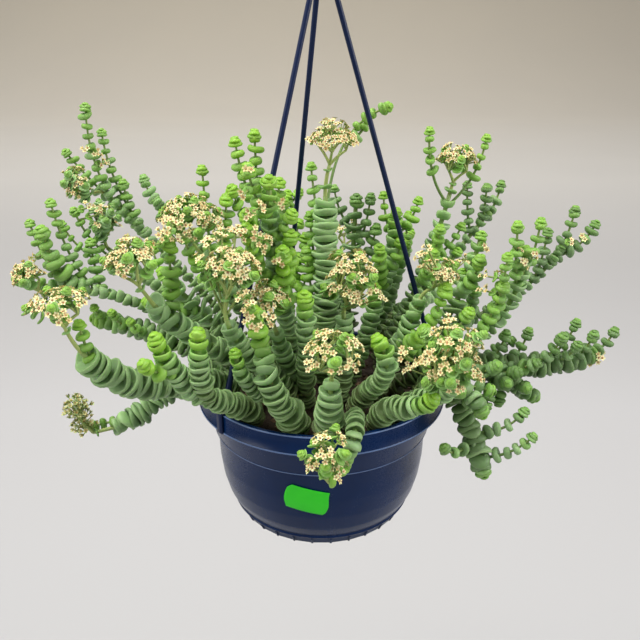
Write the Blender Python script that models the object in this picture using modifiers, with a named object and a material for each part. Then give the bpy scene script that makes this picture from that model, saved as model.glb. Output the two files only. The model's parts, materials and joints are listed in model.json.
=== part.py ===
# Potted crassula in a hanging pot: a plastic pot with its drip saucer, soil, a three-armed
# hanger, leafy stems with their stacked pairs of thick leaves, and heads of small star flowers.
# The model's origin is the seat of the hanger's hook, so everything hangs below it, +Z up.
# Lengths are in millimetres and become metres where a mesh is made.

import math
import random

import bpy
import bmesh
from mathutils import Matrix, Vector

MM = 0.001
MODEL = "potted_crassula"
GAP = 0.3                     # clearance between pieces that touch

# Hanger: the rim's centre hangs this far below the hook's seat
HANG_HEIGHT = 272.0
ROD_RADIUS = 1.5
ROD_AZIMUTHS = (222.0, 110.7, 8.4)
ROD_FOOT_RADIUS = 73.2        # where a rod meets the rim, from the pot's axis
COLLAR_HEIGHT = 232.0         # where the rods meet, above the rim
COLLAR_RADIUS = 5.0
COLLAR_LENGTH = 12.0
COLLAR_OVERLAP = 4.0          # how far the collar reaches down over the rods
HOOK_WIRE = 2.2
HOOK_INNER = 8.0
HOOK_START, HOOK_END = -50.0, 205.0
HOOK_STEPS = 9
CLIP_WIDTH = 4.5
CLIP_THICK = 1.3
CLIP_INSIDE = 5.0

# Pot: outer radius against height below the rim
RIM_RADIUS = 75.0
LIP_DROP = 11.3
WALL = 1.5
LIP_THICK = 3.5
POT_BODY = ((70.3, -11.6), (66.6, -29.4), (65.0, -30.2), (64.4, -48.0), (60.6, -70.0), (55.5, -79.7))
POT_INSIDE = (-70.0, -29.4, -12.4)
SHOULDER = -10.4              # inside, where the thick lip begins
LIP_ROUND = 2.2
LIP_CHAMFER = 0.8
POT_STEPS = 32
DRAIN_RADIUS = 4.0
DRAIN_CIRCLE = 30.0
DRAIN_COUNT = 4
DRAIN_SIDES = 8

# Drip saucer clipped under the pot
SAUCER_TOP_RADIUS = 54.2
SAUCER_FOOT_RADIUS = 52.4
SAUCER_HEIGHT = 6.2
SAUCER_WALL = 1.4
SAUCER_BEAD = 1.6             # height of the straight edge under its rim

# Soil
SOIL_TOP = -9.0
SOIL_STEPS = 16
STALK_RADIUS = 2.3
STALK_DEPTH = 13.0
HOLE_RADIUS = 3.2
HOLE_SIDES = 5

# Blank price sticker on the front of the pot
STICKER_WIDTH = 26.0
STICKER_HEIGHT = 16.0
STICKER_THICK = 0.4
STICKER_AZIMUTH = 262.6
STICKER_MIDDLE = -47.0
STICKER_TILT = -12.0

# Leaves and flowers
THICK_STEM = 7.6              # leaf radius from which a stem's rings have six points and not four
PAIR_PITCH = 16.5             # along a stem, between one pair of leaves and the next
PAIR_NARROW = 0.86            # a pair's width across, against its length
WAIST = 0.55                  # a stem's radius between two pairs, against a leaf's
LEAF_EDGE = 0.22              # how far past the middle of its pitch a pair is widest
BARE_STALK = 15.0             # along a stem from the soil to its first full pair
BARE_SHOOT = 4.0              # least distance along a shoot to its first leaves
SHOOT_PITCH = 8.6
SHOOT_OUT = 0.75              # a shoot first leans out by this share of its reach
SHOOT_RISE = 0.25             # and rises by this share of its height, then turns up
SHOOT_NARROW = 0.62
PATH_STEPS = 60
BIG_HEAD = 12.5               # half width from which a head has the larger count of florets
FLORETS_BIG = 13
FLORETS_SMALL = 10
FLORET_SIZE = 0.27            # a floret's radius, against the head's half width
FLORET_WAIST = 0.5            # between two petals, against the floret's radius
FLORET_LIFT = 0.12            # petal tips stand this much above the floret's middle
CORE_SIZE = 0.55              # the core's size, against the head's
CORE_DROP = 0.3               # the core's middle lies this share of the half height low
HEAD_STALK_RADIUS = 1.3


def stem(root, bend, tip, low, high, lift=24):
    """A stem that stands in the soil at root, rises by lift, leans towards bend and ends at tip."""
    return {"root": root, "bend": bend, "tip": tip, "low": low, "high": high, "lift": lift}


def fork(at, bend, tip, low, high, parent=0):
    """A second stem that leaves its parent part of the way up."""
    return {"at": at, "bend": bend, "tip": tip, "low": low, "high": high, "parent": parent}


def shoot(at, tip, high=3.6, parent=0, bend=None, bare=0.0):
    """A small side shoot: bare for a share of its length, then little leaves up to a rosette."""
    return {"at": at, "bend": bend, "tip": tip, "low": 2.6, "high": high, "parent": parent, "bare": bare}


# Every stem's course, with its leaf radius low down and near the tip, from the rim's centre
STEMS = {
    "left_long": [
        stem((-50, -26), (-94, -64, 4), (-118, -80, 52), 9.5, 8.5, 40),
        shoot(0.9, (-117, -79, 66)),
    ],
    "left_low": [
        stem((-57, -10), (-98, -32, -12), (-122, -38, -16), 8.5, 7, 42),
        shoot(0.86, (-134, -34, -18), 3.2),
    ],
    "left_mid": [
        stem((-54, 2), (-96, 0, 28), (-142, 8, 35), 8, 7),
        shoot(0.9, (-136, 0, 45), 3),
        shoot(0.79, (-124, -6, 44), 3),
        shoot(0.68, (-112, -11, 40), 3),
    ],
    "left_up": [stem((-28, -20), (-72, -46, 38), (-85, -62, 70), 7.5, 6.5, 34)],
    "left_back": [
        stem((-30, -2), (-60, -10, 30), (-92, -15, 74), 6.5, 5.5),
        shoot(0.76, (-98, -26, 58)),
        shoot(0.92, (-97, -4, 82)),
    ],
    "left_high": [
        stem((-42, 30), (-96, 50, 56), (-138, 50, 104), 6.5, 5),
        shoot(0.84, (-142, 47, 156), 3.8, 0, (-146, 47, 108)),
        shoot(0.8, (-137, 57, 140), 3.6, 0, (-136, 57, 108)),
        shoot(0.86, (-160, 54, 128), 3.6, 0, (-150, 60, 110)),
        shoot(0.8, (-125, 50, 110), 3.8),
    ],
    "left_spray": [
        stem((-50, 18), (-98, 26, 44), (-134, 29, 74), 6.5, 5),
        fork(0.21, (-118, 2, 60), (-152, -6, 57), 5.2, 5),
        shoot(0.85, (-149, 24, 98), 3.3),
        shoot(0.77, (-155, 16, 92), 3.2),
        shoot(0.81, (-157, -9, 94), 5, 1),
        shoot(0.72, (-153, 0, 108), 3.6, 1),
        shoot(0.9, (-167, 1, 96), 3.4, 1),
        shoot(0.79, (-181, 2, 62), 3.8, 1, (-170, 4, 58)),
        shoot(0.7, (-137, 11, 82), 3.8, 1),
    ],
    "back_left_high": [
        stem((-24, 30), (-80, 66, 56), (-114, 78, 95), 7, 5.5, 34),
        shoot(0.94, (-120, 83, 107), 4),
        shoot(0.81, (-102, 74, 91), 4),
    ],
    "front_left_low": [
        stem((-35, -45), (-66, -88, 14), (-79, -90, 66), 8, 5.2, 28),
        fork(0.53, (-60, -92, 34), (-58, -88, 68), 6, 5.2),
        shoot(0.81, (-83, -97, 53), 4),
    ],
    "centre_left": [
        stem((-17, -32), (-44, -56, 32), (-49, -60, 62), 7.5, 6, 34),
        fork(0.2, (-38, -76, 16), (-44, -72, 50), 4.5, 4.5),
    ],
    "front_left": [
        stem((-13, -55), (-28, -80, 18), (-30, -68, 53), 10, 5.5),
        shoot(0.97, (-33, -72, 70), 4.5),
    ],
    "centre_fork": [
        stem((-8, -26), (-20, -36, 18), (-25, -42, 48), 7, 5.5),
        fork(0.15, (-8, -50, 30), (-9, -53, 74), 5.4, 5.6),
    ],
    "bright_front": [
        stem((-12, -10), (-30, -34, 84), (-26, -43, 131), 5.5, 5.5),
        shoot(0.72, (-38, -46, 112), 4.2),
        shoot(0.85, (-37, -40, 134), 4.2),
        shoot(0.79, (-15, -40, 111), 3.8),
    ],
    "front_centre": [stem((3, -58), (3, -86, 14), (5, -78, 37), 9.5, 6.5)],
    "front_droop": [
        stem((15, -57), (19, -114, 32), (10, -93, -10), 6.5, 5.5, 28),
        shoot(0.85, (2, -103, -6), 3.6, 0, (7, -103, -12)),
    ],
    "front_right": [stem((28, -53), (48, -88, 16), (56, -88, 33), 7.5, 6, 32)],
    "front_right_up": [stem((18, -34), (46, -64, 24), (27, -54, 50), 7, 6)],
    "front_right_head": [stem((40, -44), (70, -68, 16), (66, -72, 30), 7, 5.5, 30)],
    "right_short": [stem((49, -34), (80, -60, 28), (87, -61, 3), 6.5, 5.5, 32)],
    "right_droop": [
        stem((56, -24), (77, -46, 14), (94, -50, -42), 7.8, 6.8, 38),
        shoot(0.8, (114, -46, 0), 3.6, 0, (104, -46, -16)),
        shoot(0.92, (119, -50, -14), 3.6, 0, (108, -50, -28)),
        shoot(0.84, (67, -60, -15), 3.6, 0, (74, -60, -24)),
    ],
    "right_long": [
        stem((58, -8), (102, -22, 2), (165, -13, 21), 8.8, 7.4, 38),
        fork(0.43, (106, -26, 12), (128, -26, -4), 7, 6),
        shoot(0.76, (149, -12, 40)),
        shoot(0.88, (157, -20, 36)),
        shoot(0.95, (173, -10, 34)),
        shoot(0.53, (108, -14, 34)),
        shoot(0.63, (123, -8, 33)),
    ],
    "right_up": [
        stem((38, -14), (118, -20, 24), (111, -22, 90), 7, 6),
        fork(0.22, (84, -2, 44), (93, 2, 92), 6.5, 6),
        shoot(0.85, (104, -28, 102)),
        shoot(0.85, (120, -16, 101)),
        shoot(0.66, (99, -33, 86)),
    ],
    "right_far": [
        stem((50, 24), (124, 30, 20), (153, 34, 76), 5.6, 5, 30),
        shoot(0.9, (157, 36, 96), 3.8),
        shoot(0.94, (171, 36, 87), 3.8),
        shoot(0.82, (139, 28, 84), 3.8),
    ],
    "pale_right": [
        stem((30, -22), (46, -22, 30), (56, -22, 60), 7, 5.5),
        shoot(0.62, (56, -42, 48), 4.4),
    ],
    "high_right": [
        stem((36, 14), (68, 28, 60), (78, 31, 108), 6, 5.5),
        shoot(0.95, (62, 22, 145), 3.4, 0, (62, 22, 116), 0.5),
        shoot(0.94, (99, 38, 139), 3.4, 0, (96, 40, 112), 0.5),
        shoot(0.69, (70, 12, 90), 4),
        shoot(0.6, (66, 4, 77), 4),
    ],
    "lime_right": [
        stem((20, 14), (46, 22, 54), (45, 24, 100), 6, 5),
        fork(0.21, (46, 38, 40), (54, 42, 76), 7, 6),
        shoot(0.86, (59, 30, 103), 3.6),
        shoot(0.61, (34, 6, 80), 4),
        shoot(0.72, (48, 18, 81), 4),
    ],
    "back_right_high": [
        stem((36, 34), (84, 52, 56), (112, 63, 90), 6, 5),
        shoot(0.85, (94, 60, 107)),
        shoot(0.94, (106, 57, 106)),
        shoot(0.93, (118, 68, 106)),
    ],
    "tall_centre": [
        stem((2, 0), (4, 0, 60), (2, 4, 112), 9, 7.8),
        shoot(0.88, (38, 18, 158), 3.6, 0, (5, 38, 146), 0.66),
        shoot(0.52, (27, 26, 151), 3.4, 1, None, 0.4),
        shoot(0.83, (-6, 15, 126), 3.6),
    ],
    "centre_right": [
        stem((10, -20), (14, -30, 26), (12, -32, 55), 7.5, 6),
        fork(0.09, (32, -4, 28), (31, -6, 62), 6.5, 5.5),
    ],
    "up_left": [
        stem((-24, 12), (-54, 8, 48), (-73, 4, 80), 6.5, 5.5),
        shoot(0.83, (-70, 22, 123), 4),
    ],
    "bright_shoots": [
        stem((-12, 10), (-28, 12, 60), (-38, 12, 114), 6, 5),
        fork(0.31, (-34, 52, 54), (-21, 58, 104), 5.6, 5.4),
        shoot(0.91, (-49, 14, 140), 4.2),
        shoot(0.97, (-38, 16, 144), 4.2),
        shoot(0.85, (-51, 4, 115), 4.2),
        shoot(0.82, (-24, 8, 118), 4.4),
    ],
    "dark_back": [
        stem((14, 28), (20, 42, 54), (22, 46, 104), 7, 6),
        fork(0.24, (8, 74, 40), (14, 92, 52), 6, 5),
        shoot(0.83, (8, 52, 106), 3.6),
        shoot(0.73, (31, 46, 102), 3.8),
    ],
    "back_low": [stem((-6, 54), (-8, 96, 8), (-16, 122, 14), 7, 6, 30)],
    "back_left_low": [
        stem((-34, 46), (-64, 84, 14), (-92, 106, 30), 7, 6, 36),
        fork(0.2, (-56, 78, 36), (-66, 94, 48), 6.5, 5),
        shoot(0.78, (-86, 108, 46)),
    ],
    "back_right_low": [
        stem((36, 46), (66, 80, 12), (96, 98, 26), 7, 6, 36),
        fork(0.19, (50, 76, 44), (64, 92, 70), 6.5, 5.5),
        shoot(0.82, (88, 108, 44)),
    ],
}

# Every flower head: the stem and branch that carry it, its centre, half width and half height
HEADS = {
    "far_left_top": ("left_high", 0, (-152, 41, 112), 8.5, 11.5),
    "left_dark": ("left_spray", 0, (-133, 29, 92), 10.5, 11.5),
    "far_left": ("left_spray", 1, (-166, -16, 70), 10, 10),
    "left_front": ("left_long", 0, (-122, -87, 79), 17, 10),
    "left_middle": ("left_up", 0, (-91, -70, 96), 16, 12.5),
    "left_big": ("up_left", 0, (-74, -8, 102), 21, 15),
    "centre_left": ("centre_left", 0, (-45, -63, 90), 17.5, 13),
    "centre_small": ("centre_fork", 0, (-28, -47, 68), 12.5, 12),
    "top": ("tall_centre", 0, (6, 2, 143), 16.5, 12),
    "centre": ("centre_right", 0, (15, -36, 78), 17, 17),
    "front_big": ("front_centre", 0, (5, -86, 55), 18, 13.5),
    "front_low": ("front_droop", 1, (1, -110, 13), 13, 12.5),
    "right_pale": ("pale_right", 0, (66, -25, 75), 12.5, 9),
    "right_top": ("high_right", 0, (80, 31, 127), 15, 12),
    "right_big": ("front_right_head", 0, (61, -87, 52), 18, 19),
    "old_left": ("left_low", 0, (-138, -41, -4), 8, 14),
    "back_left": ("back_left_low", 1, (-70, 102, 62), 14, 10),
    "back": ("dark_back", 1, (18, 100, 66), 14, 10),
    "back_right": ("back_right_low", 0, (106, 104, 38), 13, 10),
}


# Scene, collections and materials

def clear_scene():
    for item in list(bpy.data.objects):
        bpy.data.objects.remove(item, do_unlink=True)


def new_collection(name):
    collection = bpy.data.collections.new(name)
    bpy.context.scene.collection.children.link(collection)
    return collection


def principled(name, colour, roughness, metallic=0.0):
    material = bpy.data.materials.new(name)
    material.use_nodes = True
    shader = material.node_tree.nodes["Principled BSDF"]
    shader.inputs["Base Color"].default_value = (*colour, 1.0)
    shader.inputs["Roughness"].default_value = roughness
    shader.inputs["Metallic"].default_value = metallic
    return material


def object_from_bmesh(name, shape, collection, smooth_angle=None):
    """Turn a bmesh in millimetres into an object in metres."""
    bmesh.ops.recalc_face_normals(shape, faces=shape.faces)
    bmesh.ops.scale(shape, vec=(MM, MM, MM), verts=shape.verts)
    mesh = bpy.data.meshes.new(name)
    shape.to_mesh(mesh)
    shape.free()
    if smooth_angle is not None:
        mesh.shade_smooth()
        mesh.set_sharp_from_angle(angle=math.radians(smooth_angle))
    item = bpy.data.objects.new(name, mesh)
    collection.objects.link(item)
    return item


def hang_from(item, rim, material):
    """Place a finished piece under the rim's empty and give it its material."""
    item.parent = rim
    item.data.materials.clear()
    item.data.materials.append(material)


def apply_modifiers(item):
    bpy.context.view_layer.update()
    graph = bpy.context.evaluated_depsgraph_get()
    mesh = bpy.data.meshes.new_from_object(item.evaluated_get(graph))
    old = item.data
    item.modifiers.clear()
    item.data = mesh
    bpy.data.meshes.remove(old)


def join_all(item, others, solver="EXACT"):
    """Join the other objects to item with one Boolean union on a collection, then remove them."""
    if not others:
        return
    group = bpy.data.collections.new(item.name + "_joined")
    bpy.context.scene.collection.children.link(group)
    for other in others:
        for owner in list(other.users_collection):
            owner.objects.unlink(other)
        group.objects.link(other)
    union = item.modifiers.new("Union", "BOOLEAN")
    union.operation = "UNION"
    union.operand_type = "COLLECTION"
    union.collection = group
    union.solver = solver
    apply_modifiers(item)
    for other in list(group.objects):
        bpy.data.objects.remove(other, do_unlink=True)
    bpy.data.collections.remove(group)


def polar(radius, azimuth, height):
    angle = math.radians(azimuth)
    return Vector((radius * math.cos(angle), radius * math.sin(angle), height))


# Pot, saucer and soil

def turned(name, profile, collection, steps=POT_STEPS):
    """Turn a profile of (radius, height) points about the pot's axis with a Screw modifier."""
    mesh = bpy.data.meshes.new(name)
    points = [(radius * MM, 0.0, height * MM) for radius, height in profile]
    mesh.from_pydata(points, [(i, i + 1) for i in range(len(points) - 1)], [])
    item = bpy.data.objects.new(name, mesh)
    collection.objects.link(item)
    screw = item.modifiers.new("Screw", "SCREW")
    screw.angle = math.tau
    screw.steps = steps
    screw.render_steps = steps
    screw.use_merge_vertices = True
    screw.merge_threshold = 0.00001
    apply_modifiers(item)
    return item


def pot_outline():
    """The pot's outside from the rim down: rolled lip, tapered band, small step and rounded body."""
    lip = [(RIM_RADIUS - LIP_ROUND, 0.0), (RIM_RADIUS, -LIP_ROUND), (RIM_RADIUS, -LIP_DROP)]
    return lip + list(POT_BODY)


def inner_radius(height):
    """Radius of the pot's inside wall at a height below the rim."""
    if height > -LIP_DROP:
        return RIM_RADIUS - LIP_THICK
    points = POT_BODY
    for (upper_radius, upper), (lower_radius, lower) in zip(points, points[1:]):
        if height >= lower:
            share = (upper - height) / (upper - lower)
            return upper_radius + (lower_radius - upper_radius) * share - WALL
    return points[-1][0] - WALL


def pot_floor():
    return POT_BODY[-1][1] + WALL


def inside_points(inset):
    """The inside wall from the floor up, moved inwards by inset."""
    heights = [pot_floor() + inset, *POT_INSIDE]
    return [(inner_radius(height) - inset, height) for height in heights]


def make_pot(collection, cutters):
    inside = [(0.0, pot_floor())] + inside_points(0.0)
    top_inside = [(RIM_RADIUS - LIP_THICK, SHOULDER), (RIM_RADIUS - LIP_THICK, -LIP_CHAMFER)]
    outline = pot_outline() + [(0.0, POT_BODY[-1][1])]
    pot = turned("pot", inside + top_inside + outline, collection)
    drains = bmesh.new()
    for index in range(DRAIN_COUNT):
        place = polar(DRAIN_CIRCLE, 45.0 + 360.0 * index / DRAIN_COUNT, POT_BODY[-1][1])
        bmesh.ops.create_cone(drains, cap_ends=True, segments=DRAIN_SIDES, radius1=DRAIN_RADIUS,
                              radius2=DRAIN_RADIUS, depth=8.0, matrix=Matrix.Translation(place))
    cut_with(pot, drains, "drain_hole_cutter", cutters)
    pot.data.shade_smooth()
    pot.data.set_sharp_from_angle(angle=math.radians(35))
    return pot


def cut_with(item, shape, name, cutters):
    """Cut a bmesh of separate cutters out of item."""
    cutter = object_from_bmesh(name, shape, cutters)
    cutter.hide_render = True
    cutter.display_type = "WIRE"
    cut = item.modifiers.new("Cut", "BOOLEAN")
    cut.operation = "DIFFERENCE"
    cut.object = cutter
    apply_modifiers(item)


def make_saucer(collection):
    top = POT_BODY[-1][1] - GAP
    foot = top - SAUCER_HEIGHT
    floor = foot + SAUCER_WALL
    profile = [(0.0, floor), (SAUCER_FOOT_RADIUS - SAUCER_WALL, floor),
               (SAUCER_TOP_RADIUS - SAUCER_WALL, top), (SAUCER_TOP_RADIUS, top),
               (SAUCER_TOP_RADIUS, top - SAUCER_BEAD), (SAUCER_FOOT_RADIUS, foot), (0.0, foot)]
    saucer = turned("drip_saucer", profile, collection)
    saucer.data.shade_smooth()
    saucer.data.set_sharp_from_angle(angle=math.radians(35))
    return saucer


def make_soil(collection, cutters):
    """Soil that fills the pot, with a plain hole for each stem."""
    edge = RIM_RADIUS - LIP_THICK - GAP
    wall = list(reversed(inside_points(GAP)))
    profile = [(0.0, SOIL_TOP), (edge, SOIL_TOP), (edge, SHOULDER)] + wall + [(0.0, pot_floor() + GAP)]
    soil = turned("soil", profile, collection, SOIL_STEPS)
    holes = bmesh.new()
    for rows in STEMS.values():
        x, y = rows[0]["root"]
        depth = STALK_DEPTH + GAP
        place = Matrix.Translation((x, y, SOIL_TOP - depth + 5.0 + depth / 2))
        bmesh.ops.create_cone(holes, cap_ends=True, segments=HOLE_SIDES, radius1=HOLE_RADIUS,
                              radius2=HOLE_RADIUS, depth=depth + 10.0, matrix=place)
    cut_with(soil, holes, "stem_hole_cutter", cutters)
    return soil


def make_sticker(collection):
    """A blank paper sticker that follows the pot's rounded front."""
    shape = bmesh.new()
    columns, rows = 6, 2
    grid = []
    tilt = math.radians(STICKER_TILT)
    for i in range(columns + 1):
        for j in range(rows + 1):
            across = (i / columns - 0.5) * STICKER_WIDTH
            up = (j / rows - 0.5) * STICKER_HEIGHT
            side = across * math.cos(tilt) - up * math.sin(tilt)
            height = STICKER_MIDDLE + across * math.sin(tilt) + up * math.cos(tilt)
            radius = inner_radius(height) + WALL + GAP * 2
            azimuth = STICKER_AZIMUTH + math.degrees(side / radius)
            grid.append(shape.verts.new(polar(radius, azimuth, height)))
    for i in range(columns):
        for j in range(rows):
            corner = i * (rows + 1) + j
            shape.faces.new([grid[corner], grid[corner + rows + 1], grid[corner + rows + 2],
                             grid[corner + 1]])
    item = object_from_bmesh("price_sticker", shape, collection)
    thick = item.modifiers.new("Paper", "SOLIDIFY")
    thick.thickness = STICKER_THICK * MM
    thick.offset = 1.0
    apply_modifiers(item)
    return item


# Hanger

def wire(name, points, radius, collection, resolution=2):
    """A round wire through points, as a mesh with welded caps."""
    curve = bpy.data.curves.new(name, "CURVE")
    curve.dimensions = "3D"
    curve.bevel_depth = radius * MM
    curve.bevel_resolution = resolution
    curve.use_fill_caps = True
    spline = curve.splines.new("POLY")
    spline.points.add(len(points) - 1)
    for target, point in zip(spline.points, points):
        target.co = (*(Vector(point) * MM), 1.0)
    source = bpy.data.objects.new(name + "_curve", curve)
    collection.objects.link(source)
    bpy.context.view_layer.update()
    graph = bpy.context.evaluated_depsgraph_get()
    mesh = bpy.data.meshes.new_from_object(source.evaluated_get(graph))
    shape = bmesh.new()
    shape.from_mesh(mesh)
    bmesh.ops.remove_doubles(shape, verts=shape.verts, dist=0.000001)
    shape.to_mesh(mesh)
    shape.free()
    item = bpy.data.objects.new(name, mesh)
    item.matrix_world = source.matrix_world
    collection.objects.link(item)
    bpy.data.objects.remove(source, do_unlink=True)
    bpy.data.curves.remove(curve)
    return item


def hook_points():
    """From the collar up the shank, out to one side and round the hook."""
    middle = HANG_HEIGHT - HOOK_INNER
    radius = HOOK_INNER + HOOK_WIRE
    arc = []
    for i in range(HOOK_STEPS + 1):
        angle = math.radians(HOOK_START + (HOOK_END - HOOK_START) * i / HOOK_STEPS)
        arc.append((radius * math.cos(angle), 0.0, middle + radius * math.sin(angle)))
    first = arc[0]
    shank = [(0.0, 0.0, COLLAR_HEIGHT + COLLAR_LENGTH - COLLAR_OVERLAP), (0.0, 0.0, first[2] - 7.0),
             (1.6, 0.0, first[2] - 4.4), (first[0] * 0.62, 0.0, first[2] - 2.1)]
    return shank + arc


def rim_clip(azimuth, collection):
    """A strap bent over the lip: short inside the pot, longer outside, and clear of the lip."""
    outside = RIM_RADIUS + GAP
    inside = (RIM_RADIUS - LIP_THICK) * math.cos(math.pi / POT_STEPS) - GAP * 1.2
    low = GAP + CLIP_THICK
    section = [(inside, GAP), (outside, GAP), (outside, -LIP_DROP), (outside + CLIP_THICK, -LIP_DROP),
               (outside + CLIP_THICK, low), (inside - CLIP_THICK, low),
               (inside - CLIP_THICK, -CLIP_INSIDE), (inside, -CLIP_INSIDE)]
    clip = bmesh.new()
    corners = [clip.verts.new((radius, -CLIP_WIDTH / 2, height)) for radius, height in section]
    face = clip.faces.new(corners)
    made = bmesh.ops.extrude_face_region(clip, geom=[face])["geom"]
    moved = [item for item in made if isinstance(item, bmesh.types.BMVert)]
    bmesh.ops.translate(clip, verts=moved, vec=(0.0, CLIP_WIDTH, 0.0))
    turn = Matrix.Rotation(math.radians(azimuth), 4, "Z")
    bmesh.ops.transform(clip, matrix=turn, verts=clip.verts)
    return object_from_bmesh("rim_clip", clip, collection)


def make_hanger(collection):
    """One moulding: collar and hook, three straight rods, and a clip over the rim at each foot."""
    shape = bmesh.new()
    middle = Matrix.Translation((0.0, 0.0, COLLAR_HEIGHT + COLLAR_LENGTH / 2 - COLLAR_OVERLAP))
    bmesh.ops.create_cone(shape, cap_ends=True, segments=16, radius1=COLLAR_RADIUS,
                          radius2=COLLAR_RADIUS * 0.7, depth=COLLAR_LENGTH, matrix=middle)
    hanger = object_from_bmesh("hanger", shape, collection, 35)
    others = [wire("hook", hook_points(), HOOK_WIRE, collection)]
    for azimuth in ROD_AZIMUTHS:
        foot = polar(ROD_FOOT_RADIUS, azimuth, GAP + 1.0)
        head = polar(1.6, azimuth, COLLAR_HEIGHT + 1.0)
        others.append(wire("rod", [foot, head], ROD_RADIUS, collection))
        others.append(rim_clip(azimuth, collection))
    join_all(hanger, others)
    hanger.data.shade_smooth()
    hanger.data.set_sharp_from_angle(angle=math.radians(35))
    return hanger


# Stems

def bezier(points, share):
    """A point on the Bezier curve of any number of control points."""
    points = [Vector(point) for point in points]
    while len(points) > 1:
        points = [a.lerp(b, share) for a, b in zip(points, points[1:])]
    return points[0]


def course(row, done):
    """The centre line of a stem, a fork or a shoot as a list of points."""
    tip = Vector(row["tip"])
    if "root" in row:
        x, y = row["root"]
        start = Vector((x, y, SOIL_TOP))
        rise = Vector((x * 1.2, y * 1.2, SOIL_TOP + row["lift"]))
        controls = [start, rise, row["bend"], tip]
    else:
        parent = done[row["parent"]]
        start = parent[round(row["at"] * PATH_STEPS)]
        away = tip - start
        bend = row["bend"] or start + Vector((away.x * SHOOT_OUT, away.y * SHOOT_OUT, away.z * SHOOT_RISE))
        controls = [start, bend, tip]
    return [bezier(controls, i / PATH_STEPS) for i in range(PATH_STEPS + 1)]


def along(points, distance):
    """Point and direction at a distance along a list of points."""
    for a, b in zip(points, points[1:]):
        step = (b - a).length
        if distance <= step:
            return a.lerp(b, distance / step), (b - a).normalized()
        distance -= step
    return points[-1].copy(), (points[-1] - points[-2]).normalized()


def length_of(points):
    return sum((b - a).length for a, b in zip(points, points[1:]))


def ring(centre, side, across, shape_points, length, width):
    return [centre + side * (length * c) + across * (width * s) for c, s in shape_points]


def ring_angles(sides, kind):
    """Unit points of one ring: a pair pointing along side, a pair pointing across, or a waist."""
    if sides == 4:
        angles = [0.0, 90.0, 180.0, 270.0]
    elif kind == "side":
        angles = [0.0, 58.0, 122.0, 180.0, 238.0, 302.0]
    elif kind == "across":
        angles = [32.0, 90.0, 148.0, 212.0, 270.0, 328.0]
    else:
        angles = [15.0 + 60.0 * i for i in range(6)]
    return [(math.cos(math.radians(a)), math.sin(math.radians(a))) for a in angles]


def loft(shape, rings):
    """Skin a list of rings with an equal count of points, and cap both ends."""
    made = [[shape.verts.new(point) for point in points] for points in rings]
    count = len(made[0])
    for lower, upper in zip(made, made[1:]):
        for i in range(count):
            j = (i + 1) % count
            shape.faces.new([lower[i], lower[j], upper[j], upper[i]])
    shape.faces.new(list(reversed(made[0])))
    shape.faces.new(made[-1])


def leafy_tube(row, points):
    """A stem with its stacked pairs of leaves, each pair crosswise to the one below."""
    small = "bare" in row
    standing = "root" in row
    sides = 6 if row["low"] > THICK_STEM else 4
    pitch = SHOOT_PITCH if small else PAIR_PITCH
    total = length_of(points)
    bare = max(BARE_SHOOT, total * row["bare"]) if small else BARE_STALK
    count = max(2, round((total - bare) / pitch))
    pitch = (total - bare) / count
    rings = []
    side = Vector((1.0, 0.0, 0.0))
    waist = ring_angles(sides, "waist")
    if standing:
        x, y = row["root"]
        base = [(x, y, SOIL_TOP - STALK_DEPTH), (x, y, SOIL_TOP + 0.5)]
        for point in base:
            rings.append(ring(Vector(point), side, Vector((0.0, 1.0, 0.0)), waist,
                              STALK_RADIUS, STALK_RADIUS))
    start = 0.0 if not standing else 4.0
    marks = [(start, "start", 0.0)]
    for k in range(count):
        middle = bare + pitch * (k + 0.5)
        if not small:
            marks.append((middle - pitch * 0.5, "waist", middle / total))
        marks.append((middle + pitch * LEAF_EDGE, "pair", middle / total))
    marks.append((total, "end", 1.0))
    pair_number = 0
    for distance, kind, share in marks:
        centre, direction = along(points, distance)
        side = (side - direction * side.dot(direction)).normalized()
        across = direction.cross(side)
        leaf = row["low"] + (row["high"] - row["low"]) * share
        if kind == "start":
            rings.append(ring(centre, side, across, waist, STALK_RADIUS, STALK_RADIUS))
        elif kind == "end":
            end = leaf * (0.7 if small else 0.3)
            rings.append(ring(centre, side, across, waist, end, end))
        elif kind == "waist":
            size = max(STALK_RADIUS * 0.7, leaf * WAIST)
            rings.append(ring(centre, side, across, waist, size, size))
        else:
            early = min(1.0, 0.7 + 0.2 * pair_number) if not small else 1.0
            late = 0.8 if (pair_number == count - 1 and not small) else 1.0
            size = leaf * early * late
            narrow = size * (SHOOT_NARROW if small else PAIR_NARROW)
            if pair_number % 2 == 0:
                rings.append(ring(centre, side, across, ring_angles(sides, "side"), size, narrow))
            else:
                rings.append(ring(centre, side, across, ring_angles(sides, "across"), narrow, size))
            pair_number += 1
    shape = bmesh.new()
    loft(shape, rings)
    return shape


def make_stem(name, rows, collection):
    """One leafy stem with its forks and shoots, joined in one body."""
    done = []
    for row in rows:
        done.append(course(row, done))
    pieces = []
    for row, points in zip(rows, done):
        pieces.append(object_from_bmesh(name, leafy_tube(row, points), collection))
    main = pieces[0]
    main.name = "leafy_stem_" + name
    join_all(main, pieces[1:], "MANIFOLD")
    return main, done


# Flower heads

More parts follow.
